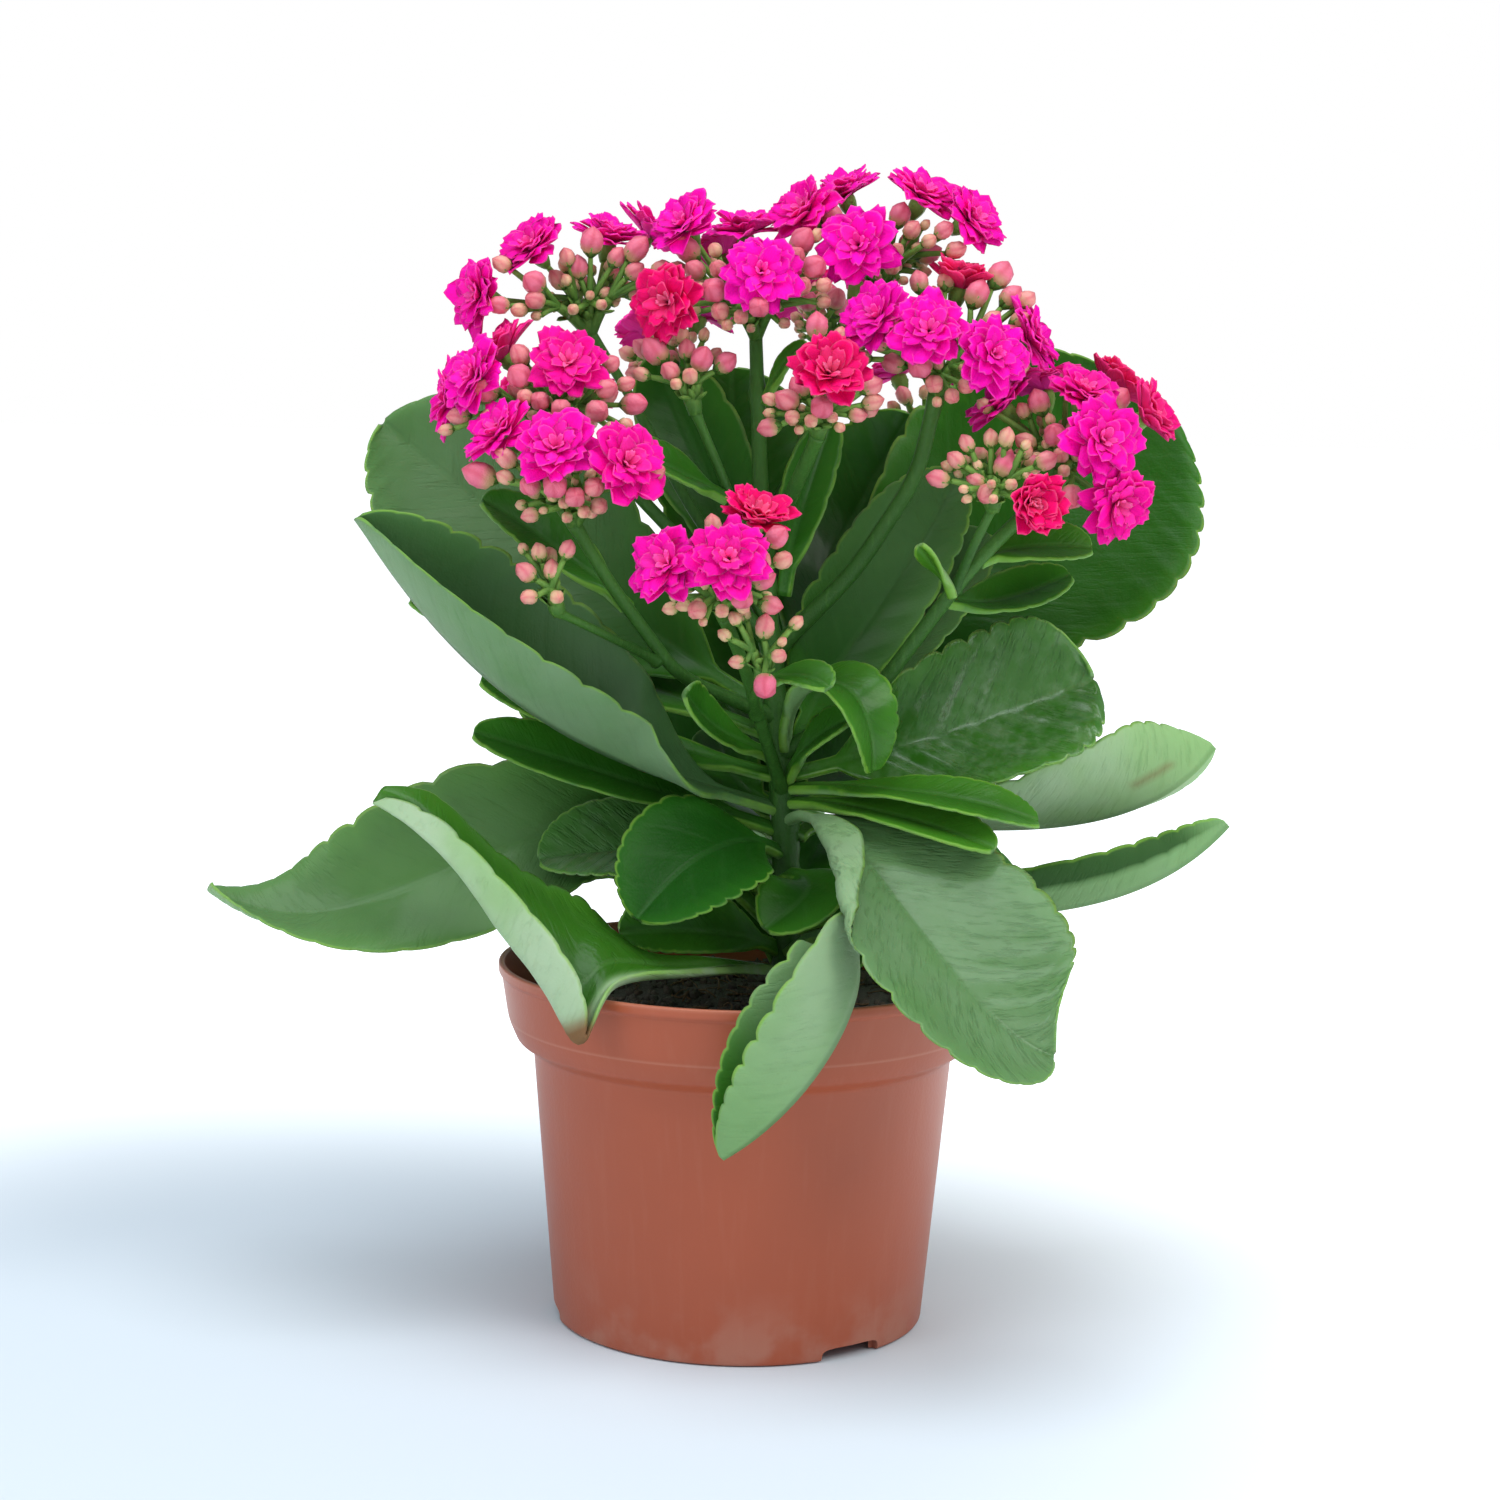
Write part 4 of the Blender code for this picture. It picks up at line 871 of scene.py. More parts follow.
def made_by(kind, sockets, output=0, **settings):
    """What comes out of a new node in the tree of the flows that enter it."""
    tree = next(value.tree for value in sockets.values() if isinstance(value, Flow))
    return Flow(add(tree, kind, sockets, **settings).outputs[output])


def maths(operation, first, second=0.0, clamp=False):
    return made_by("ShaderNodeMath", {0: first, 1: second}, operation=operation, use_clamp=clamp)


def higher(first, second):
    return maths("MAXIMUM", first, second)


def rising(value, low, high, start=0.0, end=1.0):
    """The start up to low, the end from high on, and a smooth step between."""
    sockets = {"Value": value, "From Min": low, "From Max": high, "To Min": start, "To Max": end}
    return made_by("ShaderNodeMapRange", sockets, interpolation_type="SMOOTHSTEP")


def falling(value, low, high):
    return rising(value, low, high, 1.0, 0.0)


def blended(share, first, second, kind="MIX"):
    return made_by("ShaderNodeMix", {0: share, 6: first, 7: second}, 2, data_type="RGBA",
                   blend_type=kind)


def toned(skin, hue, value):
    return made_by("ShaderNodeHueSaturation", {"Color": skin, "Hue": hue, "Value": value})


def cloud(place, scale, detail=3.0):
    return made_by("ShaderNodeTexNoise", {"Vector": place, "Scale": scale, "Detail": detail})


def stretched(place, height):
    """The place with its height scaled, which draws patterns out upwards."""
    return made_by("ShaderNodeMapping", {"Vector": place, "Scale": (1.0, 1.0, height)})


def split(vector):
    """The three values of a vector."""
    return [Flow(socket) for socket in add(vector.tree, "ShaderNodeSeparateXYZ",
                                           {0: vector}).outputs]


def marked(place, name):
    """The three values of an attribute, in the tree of the place."""
    made = add(place.tree, "ShaderNodeAttribute", attribute_name=name)
    return split(Flow(made.outputs["Vector"]))


def new_group(name, inputs, outputs):
    """An empty node group with its sockets, the flows that enter it, and
    where its results go."""
    tree = bpy.data.node_groups.new(name, "ShaderNodeTree")
    for label, kind, value in inputs:
        socket = tree.interface.new_socket(label, in_out="INPUT", socket_type="NodeSocket" + kind)
        if value is not None:
            socket.default_value = value
    for label, kind in outputs:
        tree.interface.new_socket(label, in_out="OUTPUT", socket_type="NodeSocket" + kind)
    ends = tree.nodes.new("NodeGroupInput").outputs
    return [Flow(ends[label]) for label, *_ in inputs], tree.nodes.new("NodeGroupOutput").inputs


def mottle_group():
    """Soft lighter and darker patches on a colour, and the same patches as
    a value: colour x (1 + amount x (coarse noise + half a finer one - 0.75))."""
    (base, place, scale, amount), result = new_group(
        "mottle",
        [("Colour", "Color", (1, 1, 1, 1)), ("Place", "Vector", None),
         ("Scale", "Float", 50.0), ("Amount", "Float", 0.2)],
        [("Colour", "Color"), ("Value", "Float")])
    patches = cloud(place, scale) + cloud(place, scale * 5.3) * 0.5 - 0.75
    gain = patches * amount + 1.0
    grey = made_by("ShaderNodeCombineColor", {0: gain, 1: gain, 2: gain})
    put(result["Colour"], blended(1.0, base, grey, "MULTIPLY"))
    put(result["Value"], patches)


def grain_group():
    """Fine surface grain as a height: cell noise and a finer soft noise."""
    (place, scale), result = new_group(
        "grain", [("Place", "Vector", None), ("Scale", "Float", 900.0)], [("Height", "Float")])
    cells = made_by("ShaderNodeTexVoronoi", {"Vector": place, "Scale": scale}, "Distance")
    put(result["Height"], cells + cloud(place, scale * 0.4, 4.0))


def from_group(name, build, sockets):
    """The outputs of a node group, built the first time it is asked for."""
    if name not in bpy.data.node_groups:
        build()
    tree = sockets["Place"].tree
    made = add(tree, "ShaderNodeGroup", sockets, node_tree=bpy.data.node_groups[name])
    return [Flow(socket) for socket in made.outputs]


def mottled(base, place, scale, amount):
    """A colour in soft patches, and the patches as a value."""
    return from_group("mottle", mottle_group,
                      {"Colour": base, "Place": place, "Scale": scale, "Amount": amount})


def grain(place, scale):
    return from_group("grain", grain_group, {"Place": place, "Scale": scale})[0]


def dress(shader, **inputs):
    for name, value in inputs.items():
        put(shader.inputs[name.replace("_", " ")], value)


def new_finish(name, **constants):
    """A material with its shader, and the place on the object."""
    made = bpy.data.materials.new(name)
    made.use_nodes = True
    shader = made.node_tree.nodes["Principled BSDF"]
    dress(shader, **constants)
    return made, shader, Flow(add(made.node_tree, "ShaderNodeTexCoord").outputs["Object"])


def bump(shader, height, strength, distance):
    dress(shader, Normal=made_by("ShaderNodeBump", {"Strength": strength, "Distance": distance,
                                                    "Height": height}))


# Finishes

def pot_finish(settings):
    """Satin moulded plastic: soft mottling, faint streaks down the wall, a
    paler worn lip and collar edge, and dust near the foot."""
    made, shader, place = new_finish("pot_plastic", Specular_IOR_Level=0.45)
    tint, patches = mottled(settings.colour, place, 22.0, 0.10)
    height = split(place)[2]
    streak = rising(cloud(stretched(place, 0.06), 420.0, 4.0), 0.52, 0.72)
    tint = blended(streak * 0.05, tint, settings.worn_colour)
    lip = rising(height, 0.0868, 0.0879)
    knee = rising(height, 0.0737, 0.0741) * falling(height, 0.0741, 0.0748)
    tint = blended(higher(lip, knee) * 0.35, tint, settings.worn_colour)
    dust = falling(height, 0.0, 0.022) * rising(cloud(place, 75.0, 5.0), 0.42, 0.66)
    tint = blended(dust * 0.3, tint, settings.dust_colour)
    dress(shader, Base_Color=tint, Roughness=patches * 0.12 + dust * 0.2 + settings.roughness)
    bump(shader, grain(place, 1100.0), 0.10, 0.0002)
    return made


def soil_finish(settings):
    """Damp dark peat with browner crumbs and pale dry fibres."""
    made, shader, place = new_finish("peat", Specular_IOR_Level=0.25)
    kind, _, seed = marked(place, "crumb")
    peat, patches = mottled(settings.colour, place, 240.0, 0.9)
    crumb = blended(seed, settings.colour, settings.crumb_colour)
    tint = blended(kind * 0.8, peat, crumb)
    tint = blended(rising(kind, 1.4, 1.6), tint, settings.fibre_colour)
    dress(shader, Base_Color=tint, Roughness=patches * 0.15 + 0.85)
    bump(shader, grain(place, 1400.0), 0.6, 0.0006)
    return made


def leaf_finish(settings):
    """A thick leaf: glossy green above with a sunk midrib, side veins that
    run forwards to the edge, and a yellow-green rim; paler, greyer and duller
    below, where the veins are darker. Glossy leaves are creased, with painted
    shade along the creases and painted glints of light; dark patches are
    painted shade, pale waxy patches are in places a painted sheen, and the
    lighter green near the edge is partly a painted glow."""
    made, shader, place = new_finish("leaf_skin", Specular_IOR_Level=0.1, Coat_Roughness=0.17,
                                     Subsurface_Weight=0.06, Subsurface_Scale=0.003)
    along, across, upper = marked(place, "blade")
    margin, tone, gloss = marked(place, "trim")
    pale, brown, dark = marked(place, "paint")
    off_rib = abs(across)
    wobble = cloud(place, 60.0) * 0.7
    run = along - off_rib * 0.9
    wave = maths("PINGPONG", run * (1 / settings.vein_spacing) + wobble, 0.5)
    side_vein = falling(wave, 0.0, 0.16) * rising(off_rib, 0.8, 3.0) * rising(margin, 1.0, 7.0)
    vein = higher(side_vein * 0.35, falling(off_rib, 0.35, 1.3))
    outwards = made_by("ShaderNodeCombineXYZ", {0: run * 0.40, 1: (off_rib + along) * 0.08,
                                                2: wobble})
    creases = (rising(cloud(outwards, 1.6, 3.5), 0.46, 0.74) * (gloss * 0.9 + 0.04)
               * rising(cloud(place, 55.0), 0.3, 0.6))
    # Painted glints: small bluish-white highlights of light on glossy leaves, mixed into the upper
    # colour.
    painted_glints = (rising(cloud(place, 330.0), 0.3, 0.85) * rising(cloud(place, 48.0), 0.3, 0.75)
             * gloss ** 3.0)
    # Where a patch is pale the lower side's colour shows under a patchy waxy film; on several upper
    # faces this colour and film are a painted sheen.
    film = pale * rising(cloud(place, 38.0), 0.2, 0.7)
    face, patches = mottled(settings.upper_colour, place, 26.0, 0.5)
    # Lighter green near the edge: partly the edge's own colour, partly a painted glow of light
    # through the thin edge.
    face = blended(falling(margin, 0.0, 9.0) * 0.42, face, settings.young_colour)
    face = blended(vein * 0.07, face, settings.under_colour)
    # Dark patches: painted shade, a near-black green where the leaf lies in shade; they also show
    # the upper side.
    face = blended(dark * 0.7, face, settings.deep_colour)
    # Painted glints of light on the upper side.
    face = blended(painted_glints * 0.25, face, settings.wax_and_sheen_colour)
    back, _ = mottled(settings.under_colour, place, 45.0, 0.2)
    back = blended(vein * 0.22, back, settings.upper_colour)
    # The pale patches' waxy film: on several leaves a painted sheen.
    back = blended(film, back, settings.wax_and_sheen_colour)
    show = higher(upper * (1.0 - pale), dark)
    # Painted shade in the creases: the skin is darkened towards the upper colour along them.
    skin = blended(creases * 0.28, blended(show, back, face), settings.upper_colour)
    skin = toned(skin, 0.5 - tone * 0.02, tone * 0.5 + 1.0)
    rim = falling(margin, 0.3, 1.0) * rising(cloud(place, 130.0), 0.25, 0.6) * 0.6
    skin = blended(brown, blended(rim, skin, settings.rim_colour), settings.dry_colour)
    rough = brown * 0.3 + 0.56 - show * (gloss * 0.14 + 0.2) + patches * 0.12
    dress(shader, Base_Color=skin, Roughness=rough, Coat_Weight=show * (gloss * 0.7))
    relief = cloud(place, 120.0, 4.0) * 0.5 + grain(place, 1500.0) * 0.05
    bump(shader, relief - (vein * 0.22 + creases), 0.5, 0.0012)
    return made


def petal_finish(settings):
    """Silky petals: magenta, or crimson where new, with painted shade darker
    towards the foot, fine lengthwise lines, pale salmon edges and a paler back."""
    made, shader, place = new_finish("petal", Specular_IOR_Level=0.1,
                                     Subsurface_Weight=0.12, Subsurface_Scale=0.002)
    along, across, upper = marked(place, "petal")
    new, pale, seed = marked(place, "bloom")
    face = blended(new, settings.petal_colour, settings.new_colour)
    face, _ = mottled(face, place, 160.0, 0.25)
    # Painted shade: darker towards the foot, deep in the flower.
    face = blended(falling(along, 0.0, 0.5) * 0.55, face, settings.deep_colour)
    lines = (maths("SINE", across * 26.0) + 1.0) * 0.06
    face = blended(lines, face, settings.deep_colour)
    skin = blended(upper, blended(0.1, face, settings.salmon_colour), face)
    rim = higher(rising(abs(across), 0.82, 1.0), rising(along, 0.93, 1.0)) * 0.15
    skin = blended(rim, skin, settings.salmon_colour)
    skin = blended(pale * 0.65, skin, settings.salmon_colour)
    dress(shader, Base_Color=toned(skin, 0.5, seed * 0.30 + 0.90),
          Roughness=cloud(place, 600.0) * 0.2 + 0.55)
    bump(shader, lines * 4.0 + grain(place, 2400.0), 0.25, 0.0003)
    return made


def bud_finish(settings):
    """Closed buds: salmon pink when ripe and cream-green when small, green at
    the foot, darker along the seams of the four folded petals."""
    made, shader, place = new_finish("bud_skin", Specular_IOR_Level=0.4,
                                     Subsurface_Weight=0.1, Subsurface_Scale=0.002)
    height, seam, ripe = marked(place, "bud")
    skin = blended(ripe, settings.cream_colour, settings.bud_colour)
    skin, _ = mottled(skin, place, 420.0, 0.3)
    skin = blended(rising(seam, 0.25, 1.0) * (ripe * 0.45 + 0.25), skin, settings.seam_colour)
    skin = blended(rising(height, 0.62, 1.0) * 0.55, skin, settings.seam_colour)
    skin = blended(falling(height, 0.06, 0.50) * 0.75, skin, settings.green_colour)
    dress(shader, Base_Color=skin, Roughness=cloud(place, 500.0) * 0.15 + 0.34)
    bump(shader, grain(place, 2600.0), 0.25, 0.0003)
    return made


def shoot_finish(name, base, tip, rough):
    """Fleshy green shoots: streaked lengthwise, lighter towards the tip."""
    made, shader, place = new_finish(name, Specular_IOR_Level=0.2,
                                     Subsurface_Weight=0.06, Subsurface_Scale=0.002)
    along, _, tone = marked(place, "shoot")
    skin, _ = mottled(base, place, 130.0, 0.35)
    streak = rising(cloud(stretched(place, 0.12), 900.0), 0.5, 0.7) * 0.25
    skin = blended(streak, skin, tip)
    young = maths("ADD", rising(along, 0.3, 1.0) * 0.5, tone * 0.6, clamp=True)
    skin = blended(young, skin, tip)
    dress(shader, Base_Color=skin, Roughness=cloud(place, 300.0) * 0.15 + rough)
    bump(shader, grain(place, 1800.0), 0.3, 0.0003)
    return made


# Pot

def rounded_profile(corners):
    """A line of (radius, height, fillet) corners with each sharp corner
    replaced by an arc: the bent curve from a point back along one side to
    one along the other."""
    line = [np.array(corners[0][:2], float)]
    for before, here, after in zip(corners, corners[1:], corners[2:]):
        corner = np.array(here[:2], float)
        back = np.array(before[:2], float) - corner
        ahead = np.array(after[:2], float) - corner
        room = min(here[2], 0.45 * np.linalg.norm(back), 0.45 * np.linalg.norm(ahead))
        start = corner + back / np.linalg.norm(back) * room
        end = corner + ahead / np.linalg.norm(ahead) * room
        share = np.linspace(0, 1, FILLET_STEPS + 1)[:, None]
        line += list(bent(start, corner, end, share))
    line.append(np.array(corners[-1][:2], float))
    return np.array(line)


def pot_inner_radius(settings, height):
    """Radius in mm of the pot's inside at a height in mm."""
    heights = [0, COLLAR_FOOT, COLLAR_KNEE, settings.height / MM]
    outside = np.array([BASE_RADIUS, BODY_TOP_RADIUS, COLLAR_RADIUS, settings.rim_radius / MM])
    return np.interp(height, heights, outside - settings.wall / MM)


def lathed(profile, sides, marks):
    """A profile of (radius, height) points from the axis back to the axis,
    turned about Z: (r cos a, r sin a, z)."""
    angle = np.arange(sides) * math.tau / sides
    ring = profile[1:-1, None]
    rounds = np.stack([ring[..., 0] * np.cos(angle), ring[..., 0] * np.sin(angle),
                       ring[..., 1] + 0 * angle], axis=-1).reshape(-1, 3)
    poles = np.array([[0, 0, profile[0, 1]], [0, 0, profile[-1, 1]]])
    points = np.concatenate([poles[:1], rounds, poles[1:]])
    values = {name: np.broadcast_to(value, (len(points), 3)) for name, value in marks.items()}
    return Surface(points, pole_faces(len(profile) - 2, sides), values)


def drain_and_notch_cutters():
    """Closed posts through the floor, and arched blocks through the foot
    ring, as one mesh: tubes along short paths."""
    angles = np.arange(DRAIN_HOLES) * math.tau / DRAIN_HOLES
    middle = np.stack([DRAIN_CIRCLE * np.cos(angles), DRAIN_CIRCLE * np.sin(angles)], axis=1)
    posts = np.array([[(*place, height) for height in CUT_HEIGHTS] for place in middle])
    drains = tubes(posts, np.full((DRAIN_HOLES, 2), DRAIN_RADIUS), DRAIN_SIDES,
                   np.zeros(DRAIN_HOLES))
    angles = math.radians(NOTCH_ANGLE) + np.arange(NOTCHES) * math.tau / NOTCHES
    way = np.stack([np.cos(angles), np.sin(angles), 0 * angles], axis=1)
    side = np.stack([-np.sin(angles), np.cos(angles), 0 * angles], axis=1)
    arch = np.linspace(0, math.pi, ARCH_STEPS)
    wide, low = NOTCH_WIDTH / 2, CUT_HEIGHTS[0]
    outline = np.stack([np.sign(np.cos(arch)) * np.abs(np.cos(arch)) ** ARCH_POWER * wide,
                        np.sin(arch) ** ARCH_POWER * FOOT_LIFT], axis=1)
    outline = np.concatenate([outline, [[-wide, low], [wide, low]]])
    reach = BASE_RADIUS + NOTCH_DEEP / 2 * np.array([-1.0, 1.0])
    rings = (way[:, None, None] * reach[None, :, None, None]
             + side[:, None, None] * outline[None, None, :, 0, None]
             + np.array([0, 0, 1.0]) * outline[None, None, :, 1, None])
    poles = way[:, None] * reach[None, :, None]
    points = np.concatenate([poles[:, :1], rings.reshape(NOTCHES, -1, 3), poles[:, 1:]], axis=1)
    sides = len(outline)
    notches = Surface(points.reshape(-1, 3), copies(pole_faces(2, sides), NOTCHES, 2 * sides + 2),
                      {"shoot": np.zeros((NOTCHES * (2 * sides + 2), 3))})
    return drains, notches


def cut_and_applied(piece, cutters):
    """The piece with each cutter taken out and the result kept as its mesh."""
    for cutter in cutters:
        taken = piece.modifiers.new(cutter.name, "BOOLEAN")
        taken.operation = "DIFFERENCE"
        taken.object = cutter
        taken.solver = "EXACT"
    graph = bpy.context.evaluated_depsgraph_get()
    graph.update()
    mesh = bpy.data.meshes.new_from_object(piece.evaluated_get(graph))
    mesh.name = piece.name
    piece.modifiers.clear()
    piece.data = mesh
    mesh.shade_smooth()
    mesh.set_sharp_from_angle(angle=math.radians(SHARP_EDGE))
    for cutter in cutters:
        bpy.data.objects.remove(cutter, do_unlink=True)


def build_pot(settings):
    """The wall, lip, stepped collar and foot as one lathed profile, with the
    drain holes and the notches cut out."""
    height = settings.height / MM
    rim = settings.rim_radius / MM
    inner = [(pot_inner_radius(settings, z), z) for z in (FLOOR_TOP, COLLAR_FOOT, COLLAR_KNEE)]
    corners = [
        (0, FLOOR_TOP, 0), (*inner[0], 2.0), (*inner[1], 1.0), (*inner[2], 1.0),
        (pot_inner_radius(settings, height), height, 0.5), (rim, height, 0.6),
        (rim, height - LIP_HEIGHT, 0.5),
        (rim - LIP_WIDTH, height - LIP_HEIGHT - LIP_WIDTH, 0.4),
        (COLLAR_RADIUS, COLLAR_KNEE, 2.0),
        (COLLAR_RADIUS - STEP_WIDTH, COLLAR_FOOT + STEP_HEIGHT, 0.8),
        (BODY_TOP_RADIUS, COLLAR_FOOT, 1.0), (BASE_RADIUS, 0, 0.9),
        (BASE_RADIUS - FOOT_RING, 0, 0.4), (BASE_RADIUS - FOOT_RING, FOOT_LIFT, 0.4),
        (FOOT_DISC_RADIUS + 1.0, FOOT_LIFT, 0.5), (FOOT_DISC_RADIUS, 0, 0.5), (0, 0, 0),
    ]
    surface = lathed(rounded_profile(corners), POT_SIDES, {})
    pot = make_piece("pot_shell", surface, pot_finish(settings), ["pot"])
    drains, notches = drain_and_notch_cutters()
    cut_and_applied(pot, [mesh_object("drain_cutter", drains),
                          mesh_object("notch_cutter", notches)])


# Soil

def soil_reach(settings):
    """Radius in mm of the soil's upper edge."""
    return pot_inner_radius(settings.pot, SOIL_EDGE) - SOIL_SIDE


def soil_height(settings, x, y):
    """Height in mm of the soil's top: level in the middle and lower at the
    edge, with lumps of three sizes."""
    away = np.hypot(x, y) / soil_reach(settings)
    level = settings.soil.level / MM - 1.0 - 0.9 * away ** 3
    rough = sum(high * lumps(x, y, cell, seed) for high, cell, seed in SOIL_LUMPS)
    return level + rough * (1 - 0.6 * away ** 4)


def soil_plug(settings):
    """Rings from the middle out to the edge at the soil's height, and on
    down inside the pot's wall: (r cos a, r sin a, height)."""
    angle = np.arange(SOIL_SIDES) * math.tau / SOIL_SIDES
    radius = np.linspace(0, soil_reach(settings), SOIL_RINGS + 1)[1:, None]
    x, y = radius * np.cos(angle), radius * np.sin(angle)
    top = np.stack([x, y, soil_height(settings, x, y)], axis=-1)
    heights = np.array([COLLAR_KNEE, COLLAR_FOOT + SOIL_SIDE, SOIL_WAIST, FLOOR_TOP + SOIL_SIDE])
    radius = (pot_inner_radius(settings.pot, heights) - SOIL_SIDE)[:, None]
    wall = np.stack([radius * np.cos(angle), radius * np.sin(angle),
                     heights[:, None] + 0 * angle], axis=-1)
    crown = [[0, 0, float(soil_height(settings, np.zeros(1), np.zeros(1))[0])]]
    floor = [[0, 0, FLOOR_TOP + SOIL_SIDE]]
    points = np.concatenate([crown, top.reshape(-1, 3), wall.reshape(-1, 3), floor])
    return Surface(points, pole_faces(len(top) + len(wall), SOIL_SIDES),
                   {"crumb": np.zeros((len(points), 3))})


def scattered(draw, count, reach):
    """Random places, spread evenly over a disc."""
    radius = reach * np.sqrt(draw.uniform(0, 1, count))
    turn = draw.uniform(0, math.tau, count)
    return radius * np.cos(turn), radius * np.sin(turn)


def soil_crumbs(settings, draw):
    """Balls of few faces, with each point at its own share of the radius."""
    count = settings.soil.crumbs
    x, y = scattered(draw, count, soil_reach(settings) - CRUMB_INSET)
    size = draw.uniform(0.5, 1.0, count) ** 2 * CRUMB_SIZE
    middle = np.stack([x, y, soil_height(settings, x, y) + 0.25 * size], axis=1)
    ball = lathed(np.array(CRUMB_PROFILE), CRUMB_SIDES, {}).points
    turned = turned_to(draw.normal(size=(count, 3)))
    uneven = ball[None] * draw.uniform(0.6, 1.2, (count, len(ball), 1)) * size[:, None, None]
    points = (turned @ uneven.transpose(0, 2, 1)).transpose(0, 2, 1) + middle[:, None]
    tone = draw.uniform(0, 1, count)[:, None] ** 2 * np.ones((1, len(ball)))
    marks = np.stack([np.ones_like(tone), np.zeros_like(tone), tone], axis=-1).reshape(-1, 3)
    faces = copies(pole_faces(len(CRUMB_PROFILE) - 2, CRUMB_SIDES), count, len(ball))
    return Surface(points.reshape(-1, 3), faces, {"crumb": marks})


def soil_fibres(settings, draw):
    """Short tubes that lie on the soil: each turns evenly along its length,
    and its middle is raised by 1 - (2 t)^2."""
    count = settings.soil.fibres
    x, y = scattered(draw, count, soil_reach(settings) - FIBRE_INSET)
    heading = draw.uniform(0, math.tau, count)
    bend = draw.uniform(-1.2, 1.2, count)
    run = np.linspace(-0.5, 0.5, FIBRE_RINGS)
    length = draw.uniform(*FIBRE_LENGTHS, count)
    course = heading[:, None] + bend[:, None] * run
    x = x[:, None] + length[:, None] * run * np.cos(course)
    y = y[:, None] + length[:, None] * run * np.sin(course)
    z = soil_height(settings, x, y) + 0.35 + draw.uniform(0, 0.9, (count, 1)) * (1 - 4 * run ** 2)
    radii = draw.uniform(*FIBRE_RADII, (count, 1)) * np.ones((1, FIBRE_RINGS))
    strands = tubes(np.stack([x, y, z], axis=-1), radii, FIBRE_SIDES, np.zeros(count))
    strands.marks = {"crumb": np.broadcast_to([2.0, 0.0, 0.5], (len(strands.points), 3))}
    return strands


def build_soil(settings):
    """The soil in two pieces: the plug, and what lies loose on it."""
    finish = soil_finish(settings.soil)
    make_piece("soil_plug", soil_plug(settings), finish, ["soil"])
    draw = np.random.default_rng(SOIL_SEED)
    loose = [soil_crumbs(settings, draw), soil_fibres(settings, draw)]
    make_piece("soil_crumbs", joined(loose), finish, ["soil"])


# Stem

def stem_at(height):
    """Middle and radius in mm of the main stem at a height."""
    path = np.array(STEM_PATH, float)
    middle = np.array([np.interp(height, path[:, 2], path[:, axis]) for axis in range(3)])
    return middle, float(np.interp(height, path[:, 2], STEM_RADII))


def build_stem(settings):
    """The main stem, swollen a little where leaves leave it, and its stalks,
    which flare where they leave the stem."""
    path = rounded_path(STEM_PATH, STEM_RINGS, 5)
    path[-1] += (0, 0, 1.0)
    heights = np.array([leaf.root for leaf in LEAVES if not isinstance(leaf.root, tuple)])
    radii = np.interp(path[:, 2], [point[2] for point in STEM_PATH], STEM_RADII)
    near = np.exp(-((path[:, 2][:, None] - heights) / SWELLING_SPREAD) ** 2).max(axis=1)
    radii = radii + settings.swelling / MM * near
    parts = [tubes(path[None], radii[None], STEM_SIDES, np.zeros(1))]
    lines = []
    widths = []
    run = np.linspace(0, 1, STALK_RINGS)
    (foot, foot_share), (top, top_share) = STALK_FLARES
    flare = foot * np.exp(-run / foot_share) + top * np.exp(-((1 - run) / top_share) ** 2)
    for head in HEADS:
        if len(head.stalk) > 1:
            lines.append(rounded_path(head.stalk, STALK_RINGS, 4))
            widths.append(head.stalk_radius * np.interp(run, (0, 1), STALK_ENDS) + flare)
    parts.append(tubes(np.array(lines), np.array(widths), STALK_SIDES,
                       np.full(len(lines), 0.12)))
    finish = shoot_finish("stem_skin", settings.colour, settings.young_colour, 0.36)
    make_piece("stem_and_stalks", joined(parts), finish, ["stem"])


# Leaves

def blade_frame(leaf, root, share):
    """The midrib's points, and the ways up and to the right of the blade."""
    line = [root] + list(leaf.points)
    ahead = unit(through(line, share + 0.01) - through(line, share - 0.01))
    faces = leaf.faces if len(leaf.faces) > 1 else leaf.faces * 2
    up = unit(through(faces, share))
    up = unit(up - ahead * np.sum(up * ahead, axis=1, keepdims=True))
    return through(line, share), up, np.cross(ahead, up)


def leaf_root(leaf):
    """The leaf's first point, just clear of the stem it grows from."""
    if isinstance(leaf.root, tuple):
        return np.array(leaf.root, float)
    middle, radius = stem_at(leaf.root)
    way = np.array(leaf.points[0], float) - middle
    way[2] = 0
    way = way / np.linalg.norm(way)
    _, up, side = blade_frame(leaf, middle + way * radius, np.zeros(1))
    corner = (min(PETIOLE_HALF, PETIOLE_PART * leaf.width) * abs(side[0] @ way)
              + CAD_THICKNESS / 2 * abs(up[0] @ way))
    return middle + way * (radius + STEM_GAP + corner)


def half_width(leaf, share, across, notch, depth):
    """Half the blade's width in mm: a narrow petiole, a rounded blade that is
    widest at its peak, and rounded teeth that notch takes a depth from."""
    blade = np.clip((share - PETIOLE_SHARE) / (1 - PETIOLE_SHARE), 0, 1)
    low = 1 - np.clip((leaf.peak - blade) / leaf.peak, 0, 1) ** leaf.swell
    high = (1 - np.clip((blade - leaf.peak) / (1 - leaf.peak), 0, 1) ** leaf.taper) ** 0.6
    petiole = min(PETIOLE_HALF, PETIOLE_PART * leaf.width)
    half = leaf.width / 2 * np.where(across < 0, leaf.halves[0], leaf.halves[1])
    edge = petiole + (half - petiole) * low * high
    grown = np.clip(blade / 0.3, 0, 1)
    return np.maximum(edge * (1 - depth * notch * grown), TIP_HALF), grown


def soft_window(values, ends, softness):
    """1 between two ends and 0 outside, with smooth steps of a softness."""
    rise = np.clip((values - ends[0]) / softness + 0.5, 0, 1)
    fall = np.clip((ends[1] - values) / softness + 0.5, 0, 1)
    return smooth(rise) * smooth(fall)


